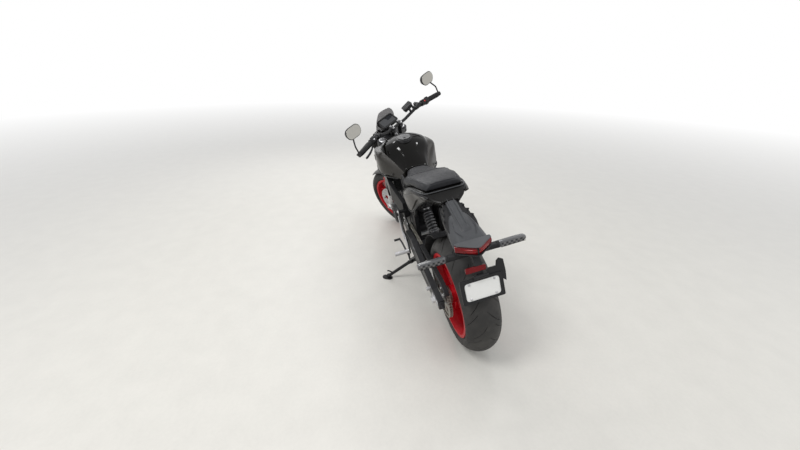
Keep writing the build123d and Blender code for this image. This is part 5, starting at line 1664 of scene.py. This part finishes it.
LEVERS = {
    # along the grip, ahead of it and above it
    1: (
        (176, 40, -10), (166, 50, -34), (146, 48, -56), (106, 42, -67), (62, 36, -70), (50, 34, -69)
    ),
    -1: (
        (176, 40, -10), (150, 64, -10), (118, 70, -12), (60, 64, -18), (8, 56, -22), (-3, 53, -22)
    ),
}
bars = Piece("bar_fittings", ["alloy_dark", "alloy", "black_plastic", "lens_bright"], "steering")
for side in BOTH:
    bars.index = 0
    clamp = forkpoint(-17.1, side * 40, YOKE_TOP + 89.4)
    for h in (-17, 1.2):
        bars.slab(rect(24, 14), clamp + UP * h, AHEAD, LEFT, 16, 3, 7)
    bars.index = 1
    for a in (-16, 16):
        bars.bolt(clamp + UP * 17 + AHEAD * a, UP, 4.5, 5)
for side in BOTH:
    way = (outer_run(side, 10) - outer_run(side, 0)).normalized()
    bars.index = 2
    for part in range(20):
        bars.revolve(
            [(17.1, 0), (17.9, 0.5), (17.9, 3.1), (17.1, 3.6)], outer_run(side, 8 + 5.6 * part),
            way, 22
        )
    bars.revolve([(17, 0), (23, 0.5), (24, 2), (23, 4), (17, 4.5)], outer_run(side, 121), way, 28)
    across = Vector((0.78, 0, -0.62))
    normal = way.cross(across).normalized()
    bars.slab(
        [(-25, -20), (22, -24), (24, 22), (-20, 24)], outer_run(side, 132, -2, 2), across, normal,
        30 * side, 5, 10
    )
    bars.index = 0
    bars.slab(
        [(-16, -13), (20, -16), (34, -6), (34, 8), (20, 16), (-16, 13)], outer_run(side, 172, 4, 2),
        across, normal, 18 * side, 3, 6
    )
    bars.index = 1 if side == 1 else 3
    bars.revolve(
        [(5, 0), (6, 1), (6, 5), (4, 6)], outer_run(side, 146, -20, 10), Vector((-0.8, 0, 0.6)), 16
    )
    bars.index = 0
    bars.revolve(
        [(4.5, 0), (5.5, 1), (5.5, 4), (4, 5)], outer_run(side, 152, -12, 20),
        Vector((-0.5, 0, 0.86)), 14
    )
    bars.revolve([(7, 0), (8, 1.5), (8, 12), (7, 13)], outer_run(side, 178, 34, -14), UP, 18)
    bars.tube(
        [outer_run(side, *row) for row in LEVERS[side]], [7.5, 6.5, 6.5, 7.5, 7.5, 6], 12, 6,
        flat=1.4
    )
bars.index = 2
for side in BOTH:
    way = (inner_run(side, 1) - inner_run(side, 0)).normalized()
    bars.revolve([(13, 0), (17, 1), (17, 17), (13, 18)], inner_run(side, 0.04), way, 20)
    across = Vector((1, 0, 0.1))
    bars.slab(
        [(-16, -10), (34, -15), (40, 2), (34, 16), (-16, 12)], inner_run(side, 0.06, 8, 4), across,
        way.cross(across), 22 * side, 4, 6
    )
    bars.slab(
        [(-20, -12), (24, -16), (26, 14), (-18, 14)], inner_run(side, 0.30, -2, 3), across,
        way.cross(across), 20 * side, 5, 7
    )
# The brake fluid reservoir stands over the right run.
pot = inner_run(-1, 0.46, 30, 26)
run = (inner_run(-1, 0) - inner_run(-1, 1)).normalized()
leaning = Vector((1, 0, 0.25))
tilted = (leaning - run * run.dot(leaning)).normalized()
lid_up = run.cross(tilted)
bars.slab([(-34, -20), (38, -22), (38, 22), (-34, 20)], pot, run, tilted, 26, 3.0, 9)
bars.slab(
    [(-37, -23), (41, -25), (41, 25), (-37, 23)], pot + lid_up * 26.5, run, tilted, 5, 1.6, 10
)
bars.index = 0
for a in (-29, 33):
    bars.bolt(pot + lid_up * 31.5 + run * a, lid_up, 3.4, 2.4)
bars.slab(
    [(-8, -17), (8, -17), (8, 20), (-8, 20)], pot - tilted * 20 - lid_up * 4, run, lid_up, 5, 1.0, 4
)
bars.done("alloy_dark", angle=40)

HEAD_MIDDLE = 913  # between the yokes
DASH_BACK = forkpoint(70.1, 0, HEAD_MIDDLE + 190.8)
panel_out = Vector((-0.6, 0, 0.8))
panel_up = Vector((0.8, 0, 0.6))
meter = Piece("dash_face", ["screen_black", "black_plastic"], "steering")
meter.slab(rect(62, 30), DASH_BACK + panel_out * 24.1, LEFT, -panel_up, -1.6, 0.5, 6)
meter.index = 1
outer = rounded([(a, b, 0) for a, b in rect(76, 43)], 19, 5)
inner = rounded([(a, b, 0) for a, b in rect(64, 32)], 8, 5)
levels = ((outer, 18.0), (outer, 24.6), (inner, 27.0), (inner, 25.0))
meter.rings(
    [[DASH_BACK + LEFT * p.x + panel_up * p.y + panel_out * h for p in ring] for ring, h in levels],
    closed=True, start=False, end=False
)
for y in (-20, 0, 20):
    meter.slab(
        rect(7, 2.6), DASH_BACK + LEFT * y - panel_up * 37.4 + panel_out * 25.6, LEFT, -panel_up,
        -2.0, 0.6, 2
    )
meter.done("black_plastic")

LAMP_BACK = forkpoint(79.2, 0, HEAD_MIDDLE + 21)
lamp_front = Piece(
    "headlamp_fittings", ["black_gloss", "reflector_silver", "alloy_dark", "lamp_glass"], "steering"
)
lamp_front.revolve(
    [(86.6, 84), (91, 84.5), (92, 88), (91, 93), (88, 95), (86.6, 92)], LAMP_BACK, FORE, 64,
    loop=True
)
lamp_front.index = 2
lamp_front.revolve(
    [(10, 87), (34, 88), (36, 90), (34, 92), (10, 91)], LAMP_BACK, FORE, 40, loop=True
)
for side in BOTH:
    lamp_front.bolt(LAMP_BACK + Vector((52, side * 86, 0)), LEFT * side, 7, 5)
lamp_front.done("black_gloss")

shield_trim = Piece("flyscreen_fittings", ["black_plastic", "alloy"], "steering")
for y in (-24, 24):
    at_y = LAMP_BACK + Vector((22.5, y, 97))
    shield_trim.revolve(
        [(7, 0), (9, 1), (9, 3), (6, 5)], at_y + Vector((3.5, 0, 6)), (1, 0, 0.4), 18
    )
    shield_trim.slab(
        [(-9, -18), (9, -18), (7, 14), (-7, 14)], at_y + Vector((-6, 0, -4)), LEFT, (-0.2, 0, 1), 3,
        0.8, 4
    )
shield_trim.done("black_plastic")

FENDER_TAB = 632
FENDER_OUT, FENDER_IN, FENDER_DROP = 319.2, 316.4, 12
fender = Piece("fender_skin", ["dark_grey", "alloy_dark"], "steering")
rows = []
for k in range(41):
    a = math.radians(62 + 100 * k / 40)
    ray = bearing(a)
    end = min(1.0, (k + 0.6) / 5, (40.6 - k) / 5)
    wide = 68 * (0.80 + 0.20 * math.sqrt(end))
    outline = []
    for s in range(15):
        t = -1 + 2 * s / 14
        outline.append((wide * t, FENDER_OUT - FENDER_DROP * abs(t) ** 3.2))
    for s in range(15):
        t = 1 - 2 * s / 14
        outline.append(((wide - 2.6) * t, FENDER_IN - FENDER_DROP * abs(t) ** 3.2))
    rows.append([FRONT_HUB + ray * r + LEFT * y for y, r in outline])
fender.rings(rows)
for side in BOTH:
    fender.slab(
        rect(23, 22), forkpoint(FORK_AHEAD, side * 66, FENDER_TAB), AHEAD, UP, -11.4 * side, 1.0, 5
    )
fender.index = 1
for side in BOTH:
    for a in (-14, 14):
        fender.bolt(forkpoint(FORK_AHEAD + a, side * 65, FENDER_TAB + 6), LEFT * -side, 5, 4)
fender.done("dark_grey", ("front_fender",), angle=40)

PISTON = [(17, 0), (18, 1), (16, 4), (6, 5)]
grabs = Piece("caliper_fittings", ["alloy_dark", "alloy"], "steering")
for side in BOTH:
    centre = FRONT_HUB + Vector((-118, side * FRONT_DISC_Y, 44))
    for off in (-27.4, 27.4):
        face = centre + LEFT * off
        outward = LEFT * (1 if off > 0 else -1)
        along = Vector((0.35, 0, 0.94)).normalized()
        over = Vector((0.94, 0, -0.35)).normalized()
        for k in (-24, 24):
            grabs.index = 0
            grabs.revolve(PISTON, face + along * k, outward, 24)
        grabs.index = 1
        for k in (-44, 44):
            grabs.bolt(face + along * k + over * 14, outward, 6, 5)
grabs.done("alloy_dark")
REAR_CALIPER = 104  # its distance from the axle
rear_grab = Piece("rear_caliper_fittings", ["alloy_dark", "alloy"])
a = math.radians(50)
centre = REAR_HUB + Vector((REAR_CALIPER * math.cos(a), -REAR_DISC_Y, REAR_CALIPER * math.sin(a)))
rear_grab.revolve(PISTON, centre - LEFT * 22, -LEFT, 24)
rear_grab.index = 1
for k in (-32, 32):
    rear_grab.bolt(centre - LEFT * 22 + Vector((-math.sin(a), 0, math.cos(a))) * k, -LEFT, 5.5, 5)
rear_grab.done("alloy_dark")

# Stage, light and camera.


def area(name, place, aim, size, power):
    data = bpy.data.lights.new(name, "AREA")
    data.shape = "DISK"
    data.size = size
    data.energy = power
    o = placed(name, data)
    o.location = place
    o.rotation_euler = (Vector(aim) - Vector(place)).to_track_quat("-Z", "Y").to_euler()


area("key", (-1.6, 2.2, 3.4), (0, 0, 0.5), 1.3, 62)
area("fill", (-2.4, -2.6, 2.4), (0, 0, 0.5), 2.6, 26)
area("front", (3.0, 0.6, 2.6), (0.3, 0, 0.6), 2.4, 34)
for number, spot in enumerate(
    ((1.25, 0.25, 3.3), (0.55, 1.1, 3.2), (0.9, -1.1, 3.2), (1.9, 0.9, 3.1))
):
    area("ceiling_%d" % number, spot, (0.1, 0, 0.9), 0.17, 4)

floor_mesh = bpy.data.meshes.new("floor")
FAR = 300
FADE_START, FADE_END = 1.8, 11.0
floor_mesh.from_pydata(
    [(-FAR, -FAR, 0), (FAR, -FAR, 0), (FAR, FAR, 0), (-FAR, FAR, 0)], [], [(0, 1, 2, 3)]
)
floor = placed("floor", floor_mesh)
floor.location.z = -0.0005  # a hair below the tyres
pale = material(
    "floor_pale", (0.70, 0.68, 0.63), 0.42, grain=300, depth=0.00004, spread=0.03, soft_edge=0.0
)
floor_mesh.materials.append(pale)
tree = pale.node_tree
far_off = vector_math(tree, "LENGTH", added(tree, "TexCoord").outputs["Object"])
fade = math_of(
    tree, "MULTIPLY", ranged(tree, far_off, FADE_START, FADE_END, 0.0, 1.0), seen_clearly(tree)
)
glow = added(tree, "Emission", Color=(1, 1, 1, 1))
both = shader_mix(tree, fade, tree.nodes["Principled BSDF"].outputs[0], glow.outputs[0])
link(tree, both, tree.nodes["Material Output"].inputs[0])

world = bpy.data.worlds.new("studio")
bpy.context.scene.world = world
world.use_nodes = True
tree = world.node_tree
tree.nodes.clear()
out = added(tree, "OutputWorld")
layers = [
    added(tree, "Background", Color=colour, Strength=strength).outputs[0]
    for colour, strength in (((0.95, 0.97, 1.0, 1), 0.62), ((1, 1, 1, 1), 1.0))
]
link(tree, shader_mix(tree, seen_clearly(tree), *layers), out.inputs[0])

# The photograph's camera: its focal length is in pixels of a picture 800 pixels wide.
YAW, TILT_DOWN, ROLL = (math.radians(v) for v in (-13.48, 25.42, 1.28))
CAMERA_AT = (-2.13418, 0.55898, 1.42084)
FOCAL_PIXELS, PICTURE_PIXELS, SENSOR = 350.49, 800.0, 36.0
level = Vector((math.cos(YAW), math.sin(YAW), 0))
right = Vector((math.sin(YAW), -math.cos(YAW), 0))
look = level * math.cos(TILT_DOWN) - SKY * math.sin(TILT_DOWN)
above = level * math.sin(TILT_DOWN) + SKY * math.cos(TILT_DOWN)
rolled_right = right * math.cos(ROLL) + above * math.sin(ROLL)
rolled_above = above * math.cos(ROLL) - right * math.sin(ROLL)
camera_data = bpy.data.cameras.new("camera")
camera_data.sensor_width = SENSOR
camera_data.lens = FOCAL_PIXELS * SENSOR / PICTURE_PIXELS
camera_data.clip_start = 0.05
camera = placed("camera", camera_data)
basis = Matrix((rolled_right, rolled_above, -look)).transposed().to_4x4()
camera.matrix_world = Matrix.Translation(CAMERA_AT) @ basis
bpy.context.scene.camera = camera
bpy.context.scene.view_settings.view_transform = "Standard"
